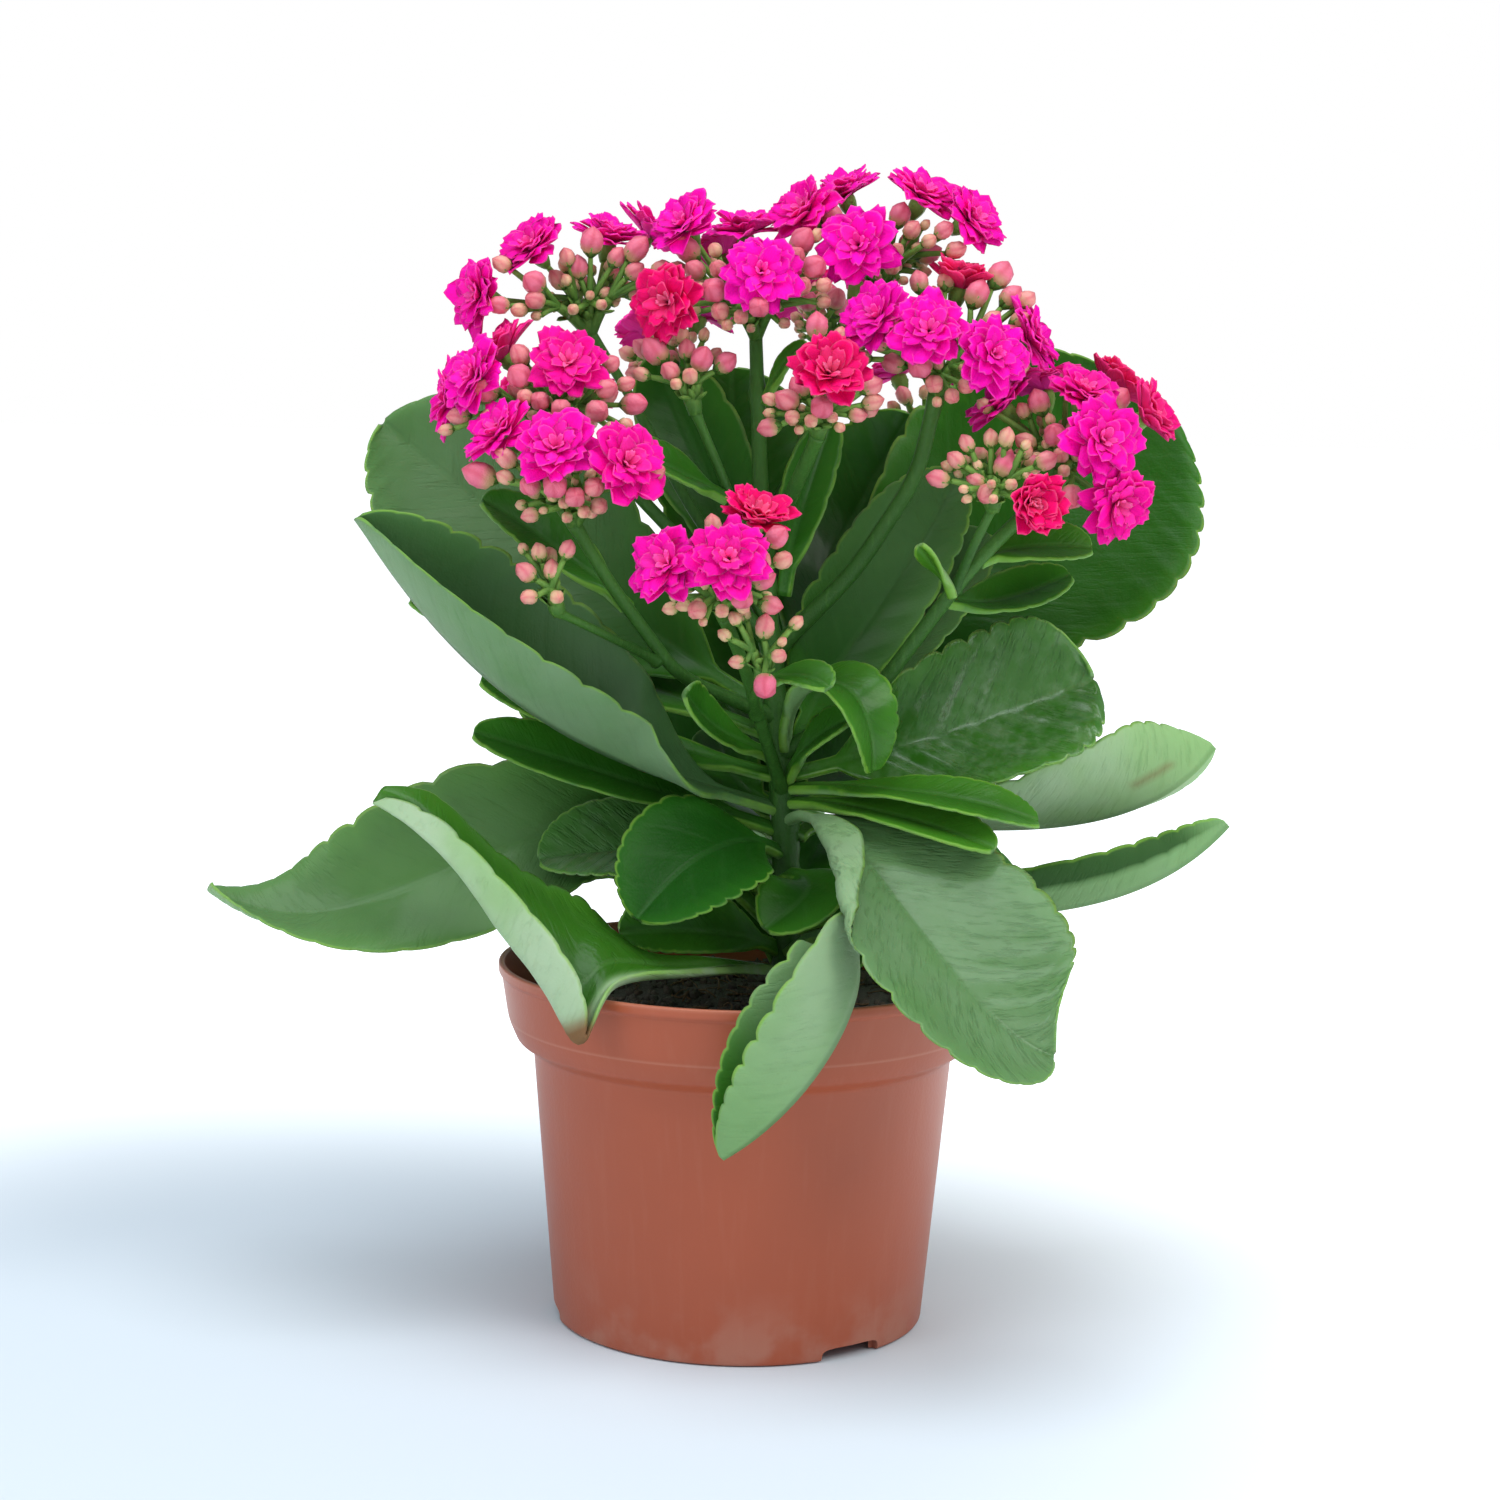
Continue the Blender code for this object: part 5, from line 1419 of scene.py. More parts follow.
def net_points(net, along, across):
    """Points of a leaf that is given as a net, whose rows hold its near edge,
    its fold and its far edge. Each row gets a fourth point part of the way to
    the far edge, a little proud of the straight line. A point of the surface
    lies straight between the four points of the net round it."""
    rows = np.array(net, float)
    near, fold, far = rows[:, 0], rows[:, 1], rows[:, 2]
    reach = np.linalg.norm(far - fold, axis=1, keepdims=True)
    proud = NET_BULGE * reach * unit(np.array([[0, -0.5, 0.85]]))
    grid = np.stack([near, fold, (1 - NET_PART) * fold + NET_PART * far + proud, far], axis=1)
    place = along * (len(grid) - 1)
    row = np.clip(np.floor(place).astype(int), 0, len(grid) - 2)
    column = np.clip(np.searchsorted(NET_COLUMNS, across, side="right") - 1, 0, 2)
    left, right = NET_COLUMNS[column], NET_COLUMNS[column + 1]
    down = (place - row)[:, None]
    over = ((across - left) / (right - left))[:, None]
    return ((grid[row, column] * (1 - over) + grid[row, column + 1] * over) * (1 - down)
            + (grid[row + 1, column] * (1 - over) + grid[row + 1, column + 1] * over) * down)


def blade_middle(leaf, root, share, across, edge, grown):
    """Points of the blade's middle layer. Across the blade the slope grows
    from the fold at the midrib by the cup, and past the line of a flap by
    the flap's angle, and is summed outwards."""
    centre, up, side = blade_frame(leaf, root, share)
    fold = np.radians(np.where(across < 0, leaf.fold[0], leaf.fold[1]))
    reach = np.abs(across)[:, None] * (np.arange(SLOPE_STEPS) + 0.5) / SLOPE_STEPS
    slope = (fold[:, None] + math.radians(leaf.cup) * reach) * grown[:, None]
    if leaf.flap:
        which, angle, places, lines = leaf.flap
        line = np.interp(share, places, lines)[:, None]
        past = np.clip((reach - line) / FLAP_SOFTNESS + 0.5, 0, 1)
        turned = np.where(np.sign(across) == which, math.radians(angle), 0)[:, None]
        slope = slope + turned * smooth(past)
    width = edge * np.abs(across)
    out = width * np.cos(slope).mean(axis=1)
    rise = width * np.sin(slope).mean(axis=1)
    rise += leaf.wave * np.sin(math.tau * (1.5 * share + 0.2 * across)) * across ** 2 * grown
    return centre + side * (out * np.sign(across))[:, None] + up * rise[:, None]


def net_rows(leaf, root, inside):
    """The rows of a net leaf, after two that run out of the stem to it."""
    way = unit(np.array(leaf.net[0][1], float) - root)
    across = np.array([-way[1], way[0], 0.0]) * PETIOLE_HALF
    foot = [[tuple(point + across * part) for part in (1, 0.9, -1)]
            for point in (root - way * inside, root)]
    return [*foot, *leaf.net]


def row_shares(leaf, root, inside, step):
    """Shares of the midrib's length at a blade's rows: the first lies inside
    the stem, and the steps shorten towards the tip."""
    first = through([root] + list(leaf.points), np.array([0.0, FIRST_STEP]))
    speed = np.linalg.norm(np.diff(first, axis=0)) / FIRST_STEP
    start = -inside / (speed * (0.5 + math.pi / 4))
    along = start + (1 - start) * (0.45 * step + 0.55 * np.sin(step * math.pi / 2))
    return 0.5 * along + 0.5 * np.sin(along * math.pi / 2)


def leaf_sides(settings, swell, run, off, share, across, grown):
    """How far a blade's upper and lower side stand from its middle: half
    the thickness, more towards the petiole, with a groove above and a ridge
    below along the midrib and waves between the side veins, all rounded off
    at the edges."""
    rounding = np.sqrt(np.clip(1 - np.abs(across) ** 6, 0, 1))
    base = settings.thickness / MM / 2 * (1 + 0.9 * (1 - grown))
    quilt = swell * np.sin(math.tau * (run - 0.9 * np.abs(off)) / settings.vein_spacing)
    quilt = quilt * grown * np.clip(np.abs(off) / 4, 0, 1) * (1 - np.abs(across) ** 2)
    groove = GROOVE_DEPTH * np.exp(-(off / GROOVE_WIDTH) ** 2) * grown
    ridge = RIDGE_HEIGHT * np.exp(-(off / RIDGE_WIDTH) ** 2) * grown * (1 - 0.7 * share)
    return (base - groove + quilt) * rounding, (base + ridge - 0.6 * quilt) * rounding


def leaf_paint(leaf, share, across):
    """How pale, brown and dark each point of a leaf is: pale for the lower
    side's colour and film, in places a painted sheen, brown for dried
    tissue, and dark for painted shade.
    """
    paint = {kind: np.zeros(len(across)) for kind in ("pale", "brown", "dark")}
    for name, kind, length, breadth, softness, strength in PATCHES:
        if name == leaf.name:
            patch = soft_window(share, length, softness) * soft_window(across, breadth, softness)
            paint[kind] = np.maximum(paint[kind], strength * patch)
    return np.stack(list(paint.values()), axis=-1)


def build_leaf(leaf, index, settings, finish):
    """A closed blade on a grid. The grid's rows run from inside the stem to
    the tip, closer together near it, and its columns are closer at the
    edges. A net leaf is averaged over a small square of neighbours."""
    large = leaf.rows > SMALL_ROWS
    special = bool(leaf.flap or leaf.net)
    teeth = leaf.rows + 3 if large else leaf.rows + 1
    rows = teeth * ROWS_PER_TOOTH + 1
    columns = LEAF_COLUMNS[0 if special else 1 if large else 2]
    root = leaf_root(leaf)
    inside = SUNK_IN_STALK if isinstance(leaf.root, tuple) else SUNK_IN_STEM
    step = np.linspace(0, 1, rows)
    lane = np.linspace(-1, 1, columns)
    if not special:
        lane = 0.45 * lane + 0.55 * np.sin(lane * math.pi / 2)
    along = step if leaf.net else row_shares(leaf, root, inside, step)
    share, across = (part.ravel() for part in np.meshgrid(along, lane, indexing="ij"))
    step = np.repeat(step, columns)
    lobe = np.abs(np.sin(math.pi * teeth * step))
    uneven = 0.65 + 0.35 * np.sin(9.1 * step + 2.3 * index + 1.7 * np.sign(across))
    notch = (1 - lobe ** 0.5) * uneven
    edge, grown = half_width(leaf, share, across, notch, settings.tooth_depth)
    if leaf.net:
        net = net_rows(leaf, root, inside)
        pulled = across * (1 - settings.tooth_depth * notch * grown * np.abs(across))
        down_steps, over_steps = (np.linspace(-blur, blur, NET_SAMPLES) for blur in NET_BLUR)
        middle = np.mean([net_points(net, share + down, pulled + over)
                          for down in down_steps for over in over_steps], axis=0)
    else:
        middle = blade_middle(leaf, root, share, across, edge, grown)
    grid = middle.reshape(rows, columns, 3)
    centre = columns // 2
    out = distances(grid)
    off = (out - out[:, centre:centre + 1]).ravel()
    margin = np.minimum(out, out[:, -1:] - out).ravel()
    run = np.repeat(distances(grid[:, centre]), columns)
    tone, gloss, swell = leaf.look
    tone += 0.12 * math.sin(4.7 * index)
    trim = np.stack([margin, np.full_like(margin, tone), np.full_like(margin, gloss)], axis=-1)
    paint = leaf_paint(leaf, share, across)
    upper = np.where(np.abs(across) < 1, 1.0, 0.5)
    blade = [np.stack([run, off, side], axis=-1) for side in (upper, 1 - upper)]
    marks = {name: [side.reshape(1, rows, columns, 3) for side in pair]
             for name, pair in (("blade", blade), ("trim", [trim] * 2), ("paint", [paint] * 2))}
    above, below = (side.reshape(1, rows, columns) for side in leaf_sides(
        settings, swell, run, off, share, across, grown))
    surface = blade_shells(grid[None], above, below, marks)
    if leaf in LEAVES:
        make_piece(leaf.name.replace("leaf", "blade", 1), surface, finish, [leaf.name])
    else:
        make_piece(f"axil_leaf_{index - len(LEAVES) + 1}", surface, finish, [])


# Flower heads

def petal_shells(count, radial, length, half, lean, bend, cup, foot, ruffle, along, across):
    """Petals in their flower's own frame, where Z is its axis. A petal's
    middle line leaves the axis at a lean and bends on outwards: its radius is
    foot + length (cos lean - cos(lean + bend s)) / bend and its height
    foot height + length (sin(lean + bend s) - sin lean) / bend. Its half
    width grows from a narrow foot and rounds off at the tip, its sides rise
    by cup x width x t t, and ruffle waves its edge. radial is each petal's
    angle round the axis, and foot its (radius, height)."""
    s = along[None, :, None]
    t = across[None, None, :]
    tip = s * (1 - 0.05 * t ** 2 - 0.09 * t ** 6 - 0.04 * np.cos(math.tau * t + 6 * ruffle))
    grow = PETAL_FOOT + (1 - PETAL_FOOT) * np.sin(
        math.pi / 2 * np.clip(s / PETAL_WIDEST, 0, 1))
    start, narrower = PETAL_TIP
    rounding = np.sqrt(1 - narrower * np.clip((s - start) / (1 - start), 0, 1) ** 2)
    wide = half * grow * rounding
    ahead = lean + bend * tip
    radius = foot[0] + length * (np.cos(lean) - np.cos(ahead)) / bend
    height = foot[1] + length * (np.sin(ahead) - np.sin(lean)) / bend
    lift = cup * wide * t ** 2 + 0.22 * wide * s * np.sin(4 * t + 9 * ruffle)
    radius = radius - np.cos(ahead) * lift
    height = height + np.sin(ahead) * lift
    sideways = -wide * t
    points = np.stack([radius * np.cos(radial) - sideways * np.sin(radial),
                       radius * np.sin(radial) + sideways * np.cos(radial),
                       height + 0 * radius], axis=-1)
    return np.broadcast_to(points, (count, len(along), len(across), 3))


def bloom_surface(place, way, size, draw, settings, newness):
    """One double flower: its whorls of petals, stood along its way."""
    new, closed = newness
    rows = []
    for petals, length, half, lean, bend, height, pale in WHORLS:
        turn = draw.uniform(0, math.tau)
        for index in range(petals):
            rows.append((
                turn + math.tau * index / petals + draw.uniform(-PETAL_TURN, PETAL_TURN),
                length * draw.uniform(*PETAL_LENGTHS), half * draw.uniform(*PETAL_WIDTHS),
                math.radians(lean * (1 - CLOSED_LEAN * closed) + draw.uniform(*PETAL_LEANS)),
                math.radians(bend * (1 - CLOSED_BEND * closed) + draw.uniform(*PETAL_BENDS)),
                height, draw.uniform(*PETAL_CUPS), draw.uniform(0, 1),
                min(1.0, pale * (0.5 + new) * draw.uniform(*PETAL_PALENESS))))
    table = np.array(rows)[:, :, None, None]
    full = settings.bloom_radius / MM * size
    radial, length, half, lean, bend, height, cup, ruffle, pale = (
        table[:, column] for column in range(9))
    middle = petal_shells(len(rows), radial, length * full * 0.97, half * full, lean, bend, cup,
                          (0.35 * size, height * size), ruffle, PETAL_ALONG, PETAL_ACROSS)
    frame_of = turned_to(np.array(way)[None])[0]
    middle = middle @ frame_of.T + np.array(place)
    shape = middle.shape[:3]
    thick = np.broadcast_to(PETAL_THICKNESS * np.sqrt(1 - PETAL_ACROSS ** 2), shape)
    s = np.broadcast_to(PETAL_ALONG[None, :, None], shape)
    t = np.broadcast_to(PETAL_ACROSS[None, None, :], shape)
    upper = np.where(np.abs(t) < 1, 1.0, 0.5)
    bloom = np.stack(np.broadcast_arrays(np.full(shape, new), pale, ruffle), axis=-1)
    marks = {"petal": [np.stack([s, t, flag], axis=-1) for flag in (upper, 1 - upper)],
             "bloom": [bloom, bloom]}
    return blade_shells(middle, thick, thick, marks)


def bud_surfaces(places, ways, radii, ripeness, draw):
    """Closed buds: rings round each way, with radius x a profile that swells
    to its widest below the middle and narrows to a blunt tip, pulled in at
    four seams that wind a little round the bud."""
    ring = BUD_PROFILE[1:-1]
    foot, tip = BUD_PROFILE[0, 0], BUD_PROFILE[-1, 0]
    side = np.arange(BUD_SIDES)
    seam = (side % (BUD_SIDES // SEAMS) == 0).astype(float)
    height = ring[:, 0][:, None] + 0 * side
    angle = side * math.tau / BUD_SIDES + SEAM_TWIST * height
    radius = ring[:, 1][:, None] * (1 - SEAM_DEPTH * seam * np.clip(height + 1.1, 0, 1))
    rounds = np.stack([radius * np.cos(angle), radius * np.sin(angle), height], axis=-1)
    shape = np.concatenate([[[0, 0, foot]], rounds.reshape(-1, 3), [[0, 0, tip]]])
    count = len(places)
    stretch = np.ones((count, 3))
    stretch[:, 2] = draw.uniform(*BUD_STRETCH, count)
    local = shape[None] * radii[:, None, None] * stretch[:, None]
    points = np.einsum("nij,nkj->nki", turned_to(ways), local) + places[:, None]
    level = np.clip((shape[:, 2] - foot) / (tip - foot), 0, 1)
    folds = np.concatenate([[0], np.broadcast_to(seam, (len(ring), BUD_SIDES)).ravel(), [1]])
    marks = np.stack(np.broadcast_arrays(level[None], folds[None], ripeness[:, None]), axis=-1)
    faces = copies(pole_faces(len(ring), BUD_SIDES), count, len(shape))
    return Surface(points.reshape(-1, 3), faces, {"bud": marks.reshape(-1, 3)})


def sepal_surfaces(places, ways, sizes, tone, draw):
    """Four small pointed sepals round the foot of each flower or bud."""
    count = len(places)
    turn = draw.uniform(0, math.tau, count)
    radial = (turn[:, None] + np.arange(SEPALS) * math.tau / SEPALS).reshape(-1, 1, 1)
    size = np.repeat(sizes, SEPALS).reshape(-1, 1, 1)
    ruffle = np.full_like(size, 0.5)
    middle = petal_shells(SEPALS * count, radial, SEPAL_LENGTH * size, SEPAL_HALF * size,
                          math.radians(SEPAL_LEAN), math.radians(SEPAL_BEND), SEPAL_CUP,
                          [part * size for part in SEPAL_FOOT], ruffle,
                          SEPAL_ALONG, SEPAL_ACROSS)
    turned = np.repeat(turned_to(ways), SEPALS, axis=0)
    middle = (np.einsum("nij,nabj->nabi", turned, middle)
              + np.repeat(places, SEPALS, axis=0)[:, None, None])
    shape = middle.shape[:3]
    thick = np.broadcast_to(SEPAL_THICKNESS * (1 - SEPAL_ACROSS ** 2), shape)
    s = np.broadcast_to(SEPAL_ALONG[None, :, None], shape)
    tones = np.broadcast_to(np.repeat(tone, SEPALS)[:, None, None], shape)
    mark = np.stack([s, 0 * s, tones], axis=-1)
    return blade_shells(middle, thick, thick, {"shoot": [mark, mark]})


def limbs(start, lean, ends, ways, draw):
    """The branches of a head. Its flowers and buds are shared among forks,
    each of which stands part of the way to the middle of its own; a branch
    runs from the stalk to each fork, and a pedicel from the fork to each
    flower or bud, both along the bent curve. A knot hides where they leave
    the stalk, and small bracts stand at the forks."""
    count = len(ends)
    forks = max(1, min(MOST_FORKS, round(count / ENDS_PER_FORK)))
    order = np.linspace(0, count - 1, forks).astype(int)
    centres = ends[np.argsort(ends[:, 0] + 0.3 * ends[:, 2])][order]
    for _ in range(FORK_ROUNDS):
        nearest = np.argmin(np.linalg.norm(ends[:, None] - centres[None], axis=2), axis=1)
        centres = np.array([ends[nearest == fork].mean(axis=0) if np.any(nearest == fork)
                            else centres[fork] for fork in range(forks)])
    nodes = start + (centres - start) * FORK_SHARE + lean * 0.8
    run = np.linspace(0, 1, LIMB_RINGS)[None, :, None]
    taper = np.linspace(1, 0, LIMB_RINGS)[None]
    sunk = CORE_RADIUS + 2 * STEM_GAP + KNOT_DEPTH
    first = np.repeat((start - lean * sunk)[None], forks, axis=0)
    middle = (first + nodes) / 2 + lean * 1.2
    end, more = BRANCH_RADII
    branch = tubes(bent(first[:, None], middle[:, None], nodes[:, None], run),
                   end + more * taper + 0 * nodes[:, :1], BRANCH_SIDES, np.full(forks, 0.25))
    fork = nodes[nearest]
    length = np.linalg.norm(ends - fork, axis=1, keepdims=True)
    bend = (ends - ways * length * 0.45 + fork + (fork - start) * 0.4) / 2
    end, more = PEDICEL_RADII
    pedicel = tubes(bent(fork[:, None], bend[:, None], ends[:, None], run),
                    end + more * taper + 0 * length, PEDICEL_SIDES, draw.uniform(0.3, 0.7, count))
    step = np.linspace(0, 1, KNOT_RINGS)
    core = start + lean * (step[:, None] * (sunk + 1.5) - sunk)
    end, more = KNOT_RADII
    knot = tubes(core[None], (end + more * np.sin(math.pi * step ** 0.7))[None], KNOT_SIDES,
                 np.full(1, 0.15))
    bracts = sepal_surfaces(nodes, unit(nodes - start), np.full(forks, BRACT_SIZE),
                            draw.uniform(0.1, 0.4, forks), draw)
    return [branch, pedicel, knot, bracts]


def bud_places(head, start, lean, blooms, draw):
    """Places and radii of a head's buds: those that the picture shows, then
    hidden ones on a spiral round the head's way, where it is clear, and
    small ones further in."""
    seen = np.array(BUDS.get(head.name, []), float).reshape(-1, 4)
    places = from_picture(seen[:, :2], seen[:, 2])
    radii = seen[:, 3]
    step = np.arange(BUD_TRIES)
    slope = math.radians(BUD_SLOPE) * np.sqrt((step + 0.5) / BUD_TRIES)
    spin = GOLDEN_ANGLE * step
    ring = np.stack([np.sin(slope) * np.cos(spin), np.sin(slope) * np.sin(spin),
                     np.cos(slope)], axis=1) @ turned_to(lean[None])[0].T
    offered = start + ring * (head.reach * draw.uniform(*HIDDEN_REACH, (BUD_TRIES, 1)))
    sizes = draw.uniform(*HIDDEN_RADII, BUD_TRIES)
    wanted = HIDDEN_BUDS[0 if head.blooms else 1]
    for place, radius in zip(offered, sizes):
        hidden = len(seen) == 0 or place[1] > start[1] - HIDDEN_BEHIND
        clear = np.all(np.linalg.norm(places - place, axis=1) > radii + radius + BUD_ROOM)
        off_blooms = np.all(np.linalg.norm(blooms - place, axis=1) > BLOOM_ROOM + radius)
        if wanted and hidden and clear and off_blooms:
            places = np.concatenate([places, place[None]])
            radii = np.append(radii, radius)
            wanted -= 1
    if head.blooms:
        small = ring[1::3][:SMALL_BUDS] * head.reach
        small = start + small * draw.uniform(*SMALL_REACH, (SMALL_BUDS, 1))
        near = np.linalg.norm(small[:, None] - places[None], axis=2)
        small = small[np.all(near > radii + SMALL_ROOM, axis=1)]
        places = np.concatenate([places, small])
        radii = np.append(radii, draw.uniform(*SMALL_RADII, len(small)))
    return places, radii


def build_head(head, index, settings, finishes):
    """One flower head in three pieces: its petals, its buds and its greens."""
    draw = np.random.default_rng(HEAD_SEED + index)
    lean = unit(np.array(head.lean, float)[None])[0]
    start = np.array(head.stalk[-1], float) + lean * (CORE_RADIUS + 2 * STEM_GAP)
    blooms = np.array(head.blooms, float).reshape(-1, 3)
    tilt = BLOOM_TILT if start[1] < FRONT_HEADS else 0
    bloom_ways = unit(unit(blooms - start) + (0, -tilt, 0))
    petals = []
    for number, (place, way) in enumerate(zip(blooms, bloom_ways)):
        newness = NEW_BLOOMS.get((head.name, number), (MOST_NEW * draw.uniform() ** 2, 0.0))
        petals.append(bloom_surface(place - way * 0.6, way, draw.uniform(*BLOOM_SIZES), draw,
                                    settings, newness))
    places, radii = bud_places(head, start, lean, blooms, draw)
    bud_ways = unit(places - start - lean * 2.0)
    ripeness = (radii - UNRIPE_RADIUS) / RIPE_GROWTH
    ripeness = np.clip(ripeness + draw.uniform(*RIPENESS_STRAYS, len(radii)), 0, 1)
    buds = bud_surfaces(places, bud_ways, radii, ripeness, draw)
    if petals:
        make_piece(head.name + "_petals", joined(petals), finishes["petal"],
                   [head.name])
    make_piece(head.name + "_buds", buds, finishes["bud"], [head.name])
    spots = np.concatenate([blooms - bloom_ways, places])
    ways = np.concatenate([bloom_ways, bud_ways])
    cups = np.concatenate([np.full(len(blooms), CUP_SIZE), radii])
    greens = limbs(start, lean, spots - ways * (1.2 * cups)[:, None], ways, draw)
    tones = np.concatenate([np.full(len(blooms), 0.3), 0.6 - 0.3 * ripeness])
    greens.append(sepal_surfaces(spots, ways, cups, tones, draw))
    if len(blooms):
        throat = np.linspace(0, 1, NECK_RINGS)
        rise = NECK_LENGTH * throat[:, None]
        necks = (blooms - bloom_ways * NECK_START)[:, None] + bloom_ways[:, None] * rise
        radii = (0.9 + 1.3 * np.sin(throat * 2.2))[None] + 0 * necks[..., 0]
        greens.append(tubes(necks, radii, BRANCH_SIDES, np.full(len(blooms), 0.8)))
    make_piece(head.name + "_greens", joined(greens), finishes["shoot"], [head.name])


# Stage

def build_surround(settings):
    """A world that is seen as plain white, and lights the plant with a
    softer grey."""
    world = bpy.data.worlds.new("studio")
    world.use_nodes = True
    tree = world.node_tree
    seen = tree.nodes["Background"]
    put(seen.inputs["Color"], settings.sky_colour)
    room = add(tree, "ShaderNodeBackground", {"Color": settings.room_colour,
                                              "Strength": settings.sky})
    direct = add(tree, "ShaderNodeLightPath").outputs["Is Camera Ray"]
    put(tree.nodes["World Output"].inputs["Surface"], made_by("ShaderNodeMixShader", {
        0: Flow(direct), 1: Flow(room.outputs[0]), 2: Flow(seen.outputs[0])}))
    return world


def build_stage(settings):
    """A pale floor that glows white far from the pot, soft lights, a white
    surround, and the camera at the picture's place."""
    scene = bpy.context.scene
    step = np.linspace(-FLOOR_HALF, FLOOR_HALF, FLOOR_STEPS)
    x, y = np.meshgrid(step, step, indexing="ij")
    points = np.stack([x, y, 0 * x - FLOOR_DROP], axis=-1).reshape(-1, 3)
    mesh = bpy.data.meshes.new("floor")
    mesh.from_pydata(points.tolist(), [], grid_faces(len(step), len(step), False).tolist())
    made, shader, place = new_finish("floor_paper", Roughness=0.75, Emission_Strength=1.0,
                                     Specular_IOR_Level=0.2)
    away = made_by("ShaderNodeVectorMath", {0: place, 1: GLOW_CENTRE}, "Value",
                   operation="DISTANCE")
    glow = blended(rising(away, *GLOW_REACH), (0, 0, 0), settings.glow_colour)
    dress(shader, Base_Color=mottled(settings.floor_colour, place, 1.5, 0.02)[0],
          Emission_Color=glow)
    mesh.materials.append(made)
    floor = linked("floor", mesh)
    for name, spot, width, power, tint in LIGHTS:
        data = bpy.data.lights.new(name, "AREA")
        data.shape = "DISK"
        data.size = width
        data.energy = power * settings.light
        data.color = tint
        lamp = linked(name, data)
        lamp.location = spot
        aim = Vector(AIM) - Vector(spot)
        lamp.rotation_euler = aim.to_track_quat("-Z", "Y").to_euler()
    scene.world = build_surround(settings)
    scene.view_settings.view_transform = "Standard"
    data = bpy.data.cameras.new("camera")
    data.sensor_width = SENSOR_WIDTH
    data.lens = SENSOR_WIDTH * FOCAL_PIXELS / PICTURE
    data.clip_start = 0.01
    camera = linked("camera", data)
    camera.location = Vector(CAMERA_PLACE) * MM
    pitched = Matrix.Rotation(math.pi / 2 - CAMERA_PITCH, 3, "X")
    camera.rotation_euler = (pitched @ Matrix.Rotation(CAMERA_ROLL, 3, "Z")).to_euler()
    scene.camera = camera


# Settings, operators and panel

def setting(kind, **limits):
    """A maker of settings of one kind, by name, description and default."""
    def made(name, description, default):
        return kind(name=name, description=description, default=default, **limits)
    return made


a_colour = setting(FloatVectorProperty, subtype="COLOR")
a_length = setting(FloatProperty, min=0.0, unit="LENGTH")
a_share = setting(FloatProperty, min=0.0, max=1.0, subtype="FACTOR")
a_number = setting(FloatProperty, min=0.0)
a_count = setting(IntProperty, min=1)


class PotSettings(bpy.types.PropertyGroup):
    rim_radius: a_length("Rim radius", "Outer radius of the pot's lip", 0.060)
    height: a_length("Height", "Height of the pot", 0.088)
    wall: a_length("Wall", "Thickness of the pot's wall", 0.0014)
    colour: a_colour("Colour", "Colour of the plastic", (0.385, 0.080, 0.031))
    worn_colour: a_colour("Worn colour", "Colour of its worn edges", (0.52, 0.22, 0.14))
    dust_colour: a_colour("Dust colour", "Colour of dust at the foot", (0.50, 0.32, 0.25))
    roughness: a_share("Roughness", "Roughness of the plastic", 0.40)


class SoilSettings(bpy.types.PropertyGroup):
    level: a_length("Level", "Height of the soil's middle", 0.079)
    crumbs: a_count("Crumbs", "Loose crumbs on the soil", 900)
    fibres: a_count("Fibres", "Loose fibres on the soil", 110)
    colour: a_colour("Colour", "Colour of damp peat", (0.085, 0.077, 0.067))
    crumb_colour: a_colour("Crumb colour", "Colour of dry crumbs", (0.11, 0.075, 0.048))
    fibre_colour: a_colour("Fibre colour", "Colour of the fibres", (0.16, 0.10, 0.055))


class StemSettings(bpy.types.PropertyGroup):
    swelling: a_length("Swelling", "Swelling where a leaf leaves the stem", 0.0006)
    colour: a_colour("Colour", "Colour of the stem", (0.024, 0.088, 0.012))
    young_colour: a_colour("Young colour", "Colour of young shoots", (0.075, 0.210, 0.034))


class LeafSettings(bpy.types.PropertyGroup):
    thickness: a_length("Thickness", "Thickness of a leaf", 0.0013)
    tooth_depth: a_share("Tooth depth", "Depth of the teeth against half the width", 0.085)
    vein_spacing: a_number("Vein spacing", "Space in mm between side veins", 9.5)
    upper_colour: a_colour("Upper side", "Colour of the upper side", (0.018, 0.098, 0.0065))
    # Deep: the near-black green of painted shade in dark patches.
    deep_colour: a_colour("Deep", "Colour of the darkest parts", (0.006, 0.034, 0.003))
    # Near the edge: partly the edge's own lighter green, partly a painted glow of light through it.
    young_colour: a_colour("Near the edge", "Colour near the edge", (0.048, 0.205, 0.014))
    under_colour: a_colour("Lower side", "Colour of the lower side", (0.185, 0.345, 0.135))
    rim_colour: a_colour("Rim", "Colour of the thin rim", (0.190, 0.400, 0.045))
    # The waxy film's colour, also used for painted sheen and painted glints on glossy leaves.
    wax_and_sheen_colour: a_colour("Wax", "Colour of the waxy film", (0.33, 0.43, 0.30))
    dry_colour: a_colour("Dry", "Colour of dried tissue", (0.200, 0.110, 0.050))


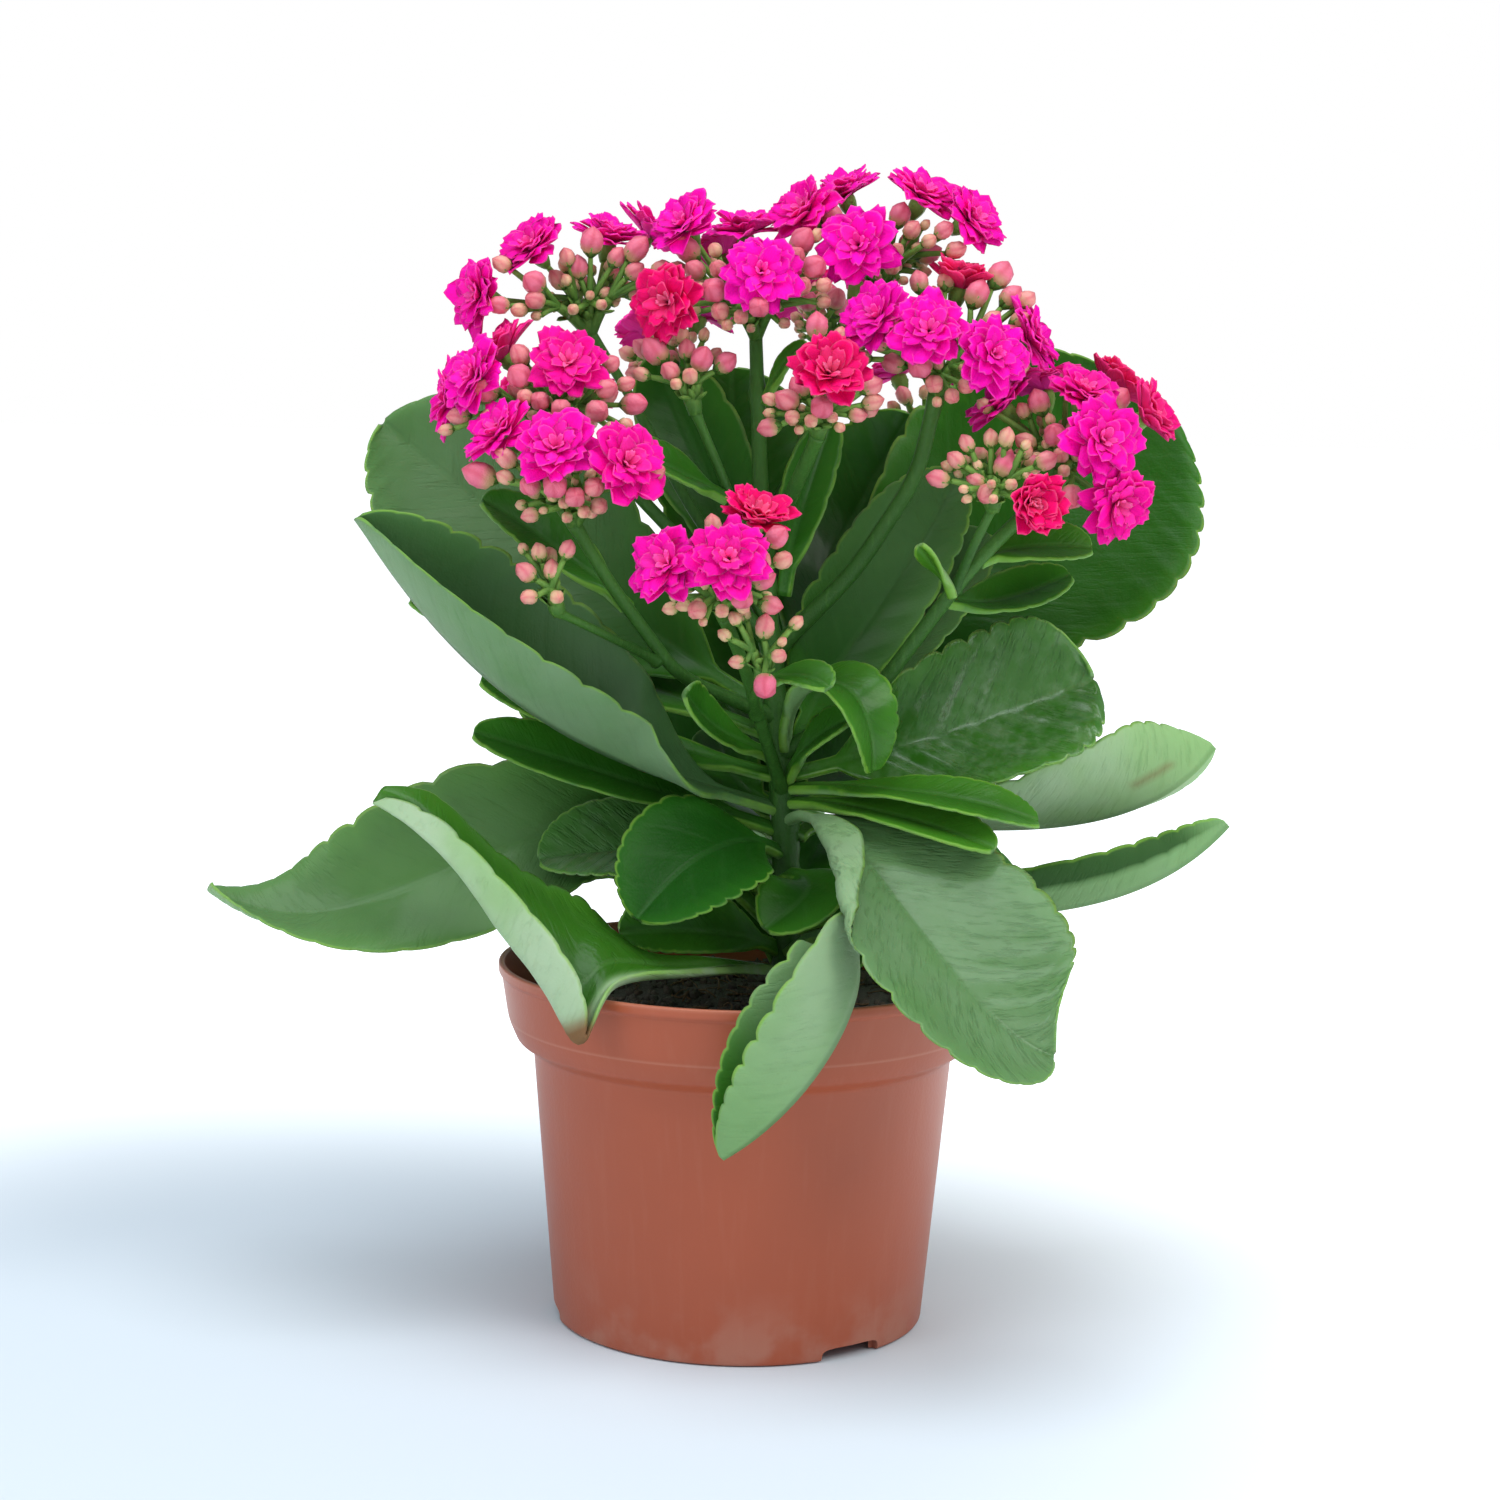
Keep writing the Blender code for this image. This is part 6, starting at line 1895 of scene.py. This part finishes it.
class FlowerSettings(bpy.types.PropertyGroup):
    bloom_radius: a_length("Bloom radius", "Radius of an open flower", 0.0102)
    petal_colour: a_colour("Petals", "Colour of open petals", (0.90, 0.001, 0.40))
    new_colour: a_colour("New petals", "Colour of newer petals", (0.78, 0.001, 0.120))
    # Petal foot: painted shade towards a petal's foot, and the colour of its fine lines.
    deep_colour: a_colour("Petal foot", "Colour at a petal's foot", (0.50, 0.001, 0.16))
    salmon_colour: a_colour("Petal edge", "Colour of petal edges", (0.90, 0.24, 0.42))
    bud_colour: a_colour("Ripe bud", "Colour of ripe buds", (0.72, 0.148, 0.240))
    cream_colour: a_colour("Small bud", "Colour of small buds", (0.72, 0.46, 0.27))
    seam_colour: a_colour("Bud seam", "Colour along bud seams", (0.58, 0.065, 0.125))
    green_colour: a_colour("Bud foot", "Colour of a bud's foot", (0.42, 0.42, 0.14))
    shoot_colour: a_colour("Shoots", "Colour of the fine branches", (0.042, 0.135, 0.020))
    tip_colour: a_colour("Shoot tips", "Colour of their tips", (0.20, 0.37, 0.07))


class StageSettings(bpy.types.PropertyGroup):
    floor_colour: a_colour("Floor", "Colour of the floor", (0.69, 0.76, 0.825))
    glow_colour: a_colour("Far floor", "Glow of the far floor", (0.85, 0.84, 0.80))
    sky_colour: a_colour("Surround", "Colour of the white surround", (1.0, 1.0, 1.0))
    room_colour: a_colour("Room light", "Light from all round", (0.36, 0.39, 0.43))
    sky: a_number("Surround light", "Strength of the surround's light", 1.0)
    light: a_number("Lights", "Strength of the lights", 1.0)


class PlantSettings(bpy.types.PropertyGroup):
    pot: PointerProperty(type=PotSettings)
    soil: PointerProperty(type=SoilSettings)
    stem: PointerProperty(type=StemSettings)
    leaf: PointerProperty(type=LeafSettings)
    flower: PointerProperty(type=FlowerSettings)
    stage: PointerProperty(type=StageSettings)


class KALANCHOE_OT_pot(bpy.types.Operator):
    """Build the nursery pot"""
    bl_idname = "kalanchoe.pot"
    bl_label = "Pot"

    def execute(self, context):
        build_pot(context.scene.kalanchoe.pot)
        return {"FINISHED"}


class KALANCHOE_OT_soil(bpy.types.Operator):
    """Build the soil with its crumbs and fibres"""
    bl_idname = "kalanchoe.soil"
    bl_label = "Soil"

    def execute(self, context):
        build_soil(context.scene.kalanchoe)
        return {"FINISHED"}


class KALANCHOE_OT_stem(bpy.types.Operator):
    """Build the stem and its flower stalks"""
    bl_idname = "kalanchoe.stem"
    bl_label = "Stem"

    def execute(self, context):
        build_stem(context.scene.kalanchoe.stem)
        return {"FINISHED"}


class KALANCHOE_OT_leaves(bpy.types.Operator):
    """Build every leaf"""
    bl_idname = "kalanchoe.leaves"
    bl_label = "Leaves"

    def execute(self, context):
        settings = context.scene.kalanchoe.leaf
        finish = leaf_finish(settings)
        axils = [small_leaf("axil_leaf", height, [half, tip], width, [face])
                 for height, half, tip, width, face in AXIL_LEAVES]
        for index, leaf in enumerate(LEAVES + axils):
            build_leaf(leaf, index, settings, finish)
        return {"FINISHED"}


class KALANCHOE_OT_heads(bpy.types.Operator):
    """Build every flower head"""
    bl_idname = "kalanchoe.heads"
    bl_label = "Flower heads"

    def execute(self, context):
        settings = context.scene.kalanchoe.flower
        finishes = {
            "petal": petal_finish(settings),
            "bud": bud_finish(settings),
            "shoot": shoot_finish("head_shoot", settings.shoot_colour, settings.tip_colour, 0.4),
        }
        for index, head in enumerate(HEADS):
            build_head(head, index, settings, finishes)
        return {"FINISHED"}


class KALANCHOE_OT_stage(bpy.types.Operator):
    """Set up the floor, the lights and the camera"""
    bl_idname = "kalanchoe.stage"
    bl_label = "Stage"

    def execute(self, context):
        build_stage(context.scene.kalanchoe.stage)
        return {"FINISHED"}


OPERATORS = [KALANCHOE_OT_stage, KALANCHOE_OT_pot, KALANCHOE_OT_soil, KALANCHOE_OT_stem,
             KALANCHOE_OT_leaves, KALANCHOE_OT_heads]


class KALANCHOE_PT_parts(bpy.types.Panel):
    """Lists the operators that build the plant"""
    bl_idname = "KALANCHOE_PT_parts"
    bl_label = "Potted kalanchoe"
    bl_space_type = "VIEW_3D"
    bl_region_type = "UI"
    bl_category = "Kalanchoe"

    def draw(self, context):
        for operator in OPERATORS:
            self.layout.operator(operator.bl_idname)
        for group in ("pot", "soil", "stem", "leaf", "flower", "stage"):
            box = self.layout.box()
            settings = getattr(context.scene.kalanchoe, group)
            for name in settings.__annotations__:
                box.prop(settings, name)


CLASSES = [PotSettings, SoilSettings, StemSettings, LeafSettings, FlowerSettings,
           StageSettings, PlantSettings, *OPERATORS, KALANCHOE_PT_parts]


def register():
    for made in CLASSES:
        bpy.utils.register_class(made)
    bpy.types.Scene.kalanchoe = PointerProperty(type=PlantSettings)


def unregister():
    del bpy.types.Scene.kalanchoe
    for made in reversed(CLASSES):
        bpy.utils.unregister_class(made)


def main():
    register()
    bpy.ops.kalanchoe.stage()
    bpy.ops.kalanchoe.pot()
    bpy.ops.kalanchoe.soil()
    bpy.ops.kalanchoe.stem()
    bpy.ops.kalanchoe.leaves()
    bpy.ops.kalanchoe.heads()
    bpy.context.view_layer.update()


if __name__ == "__main__":
    main()
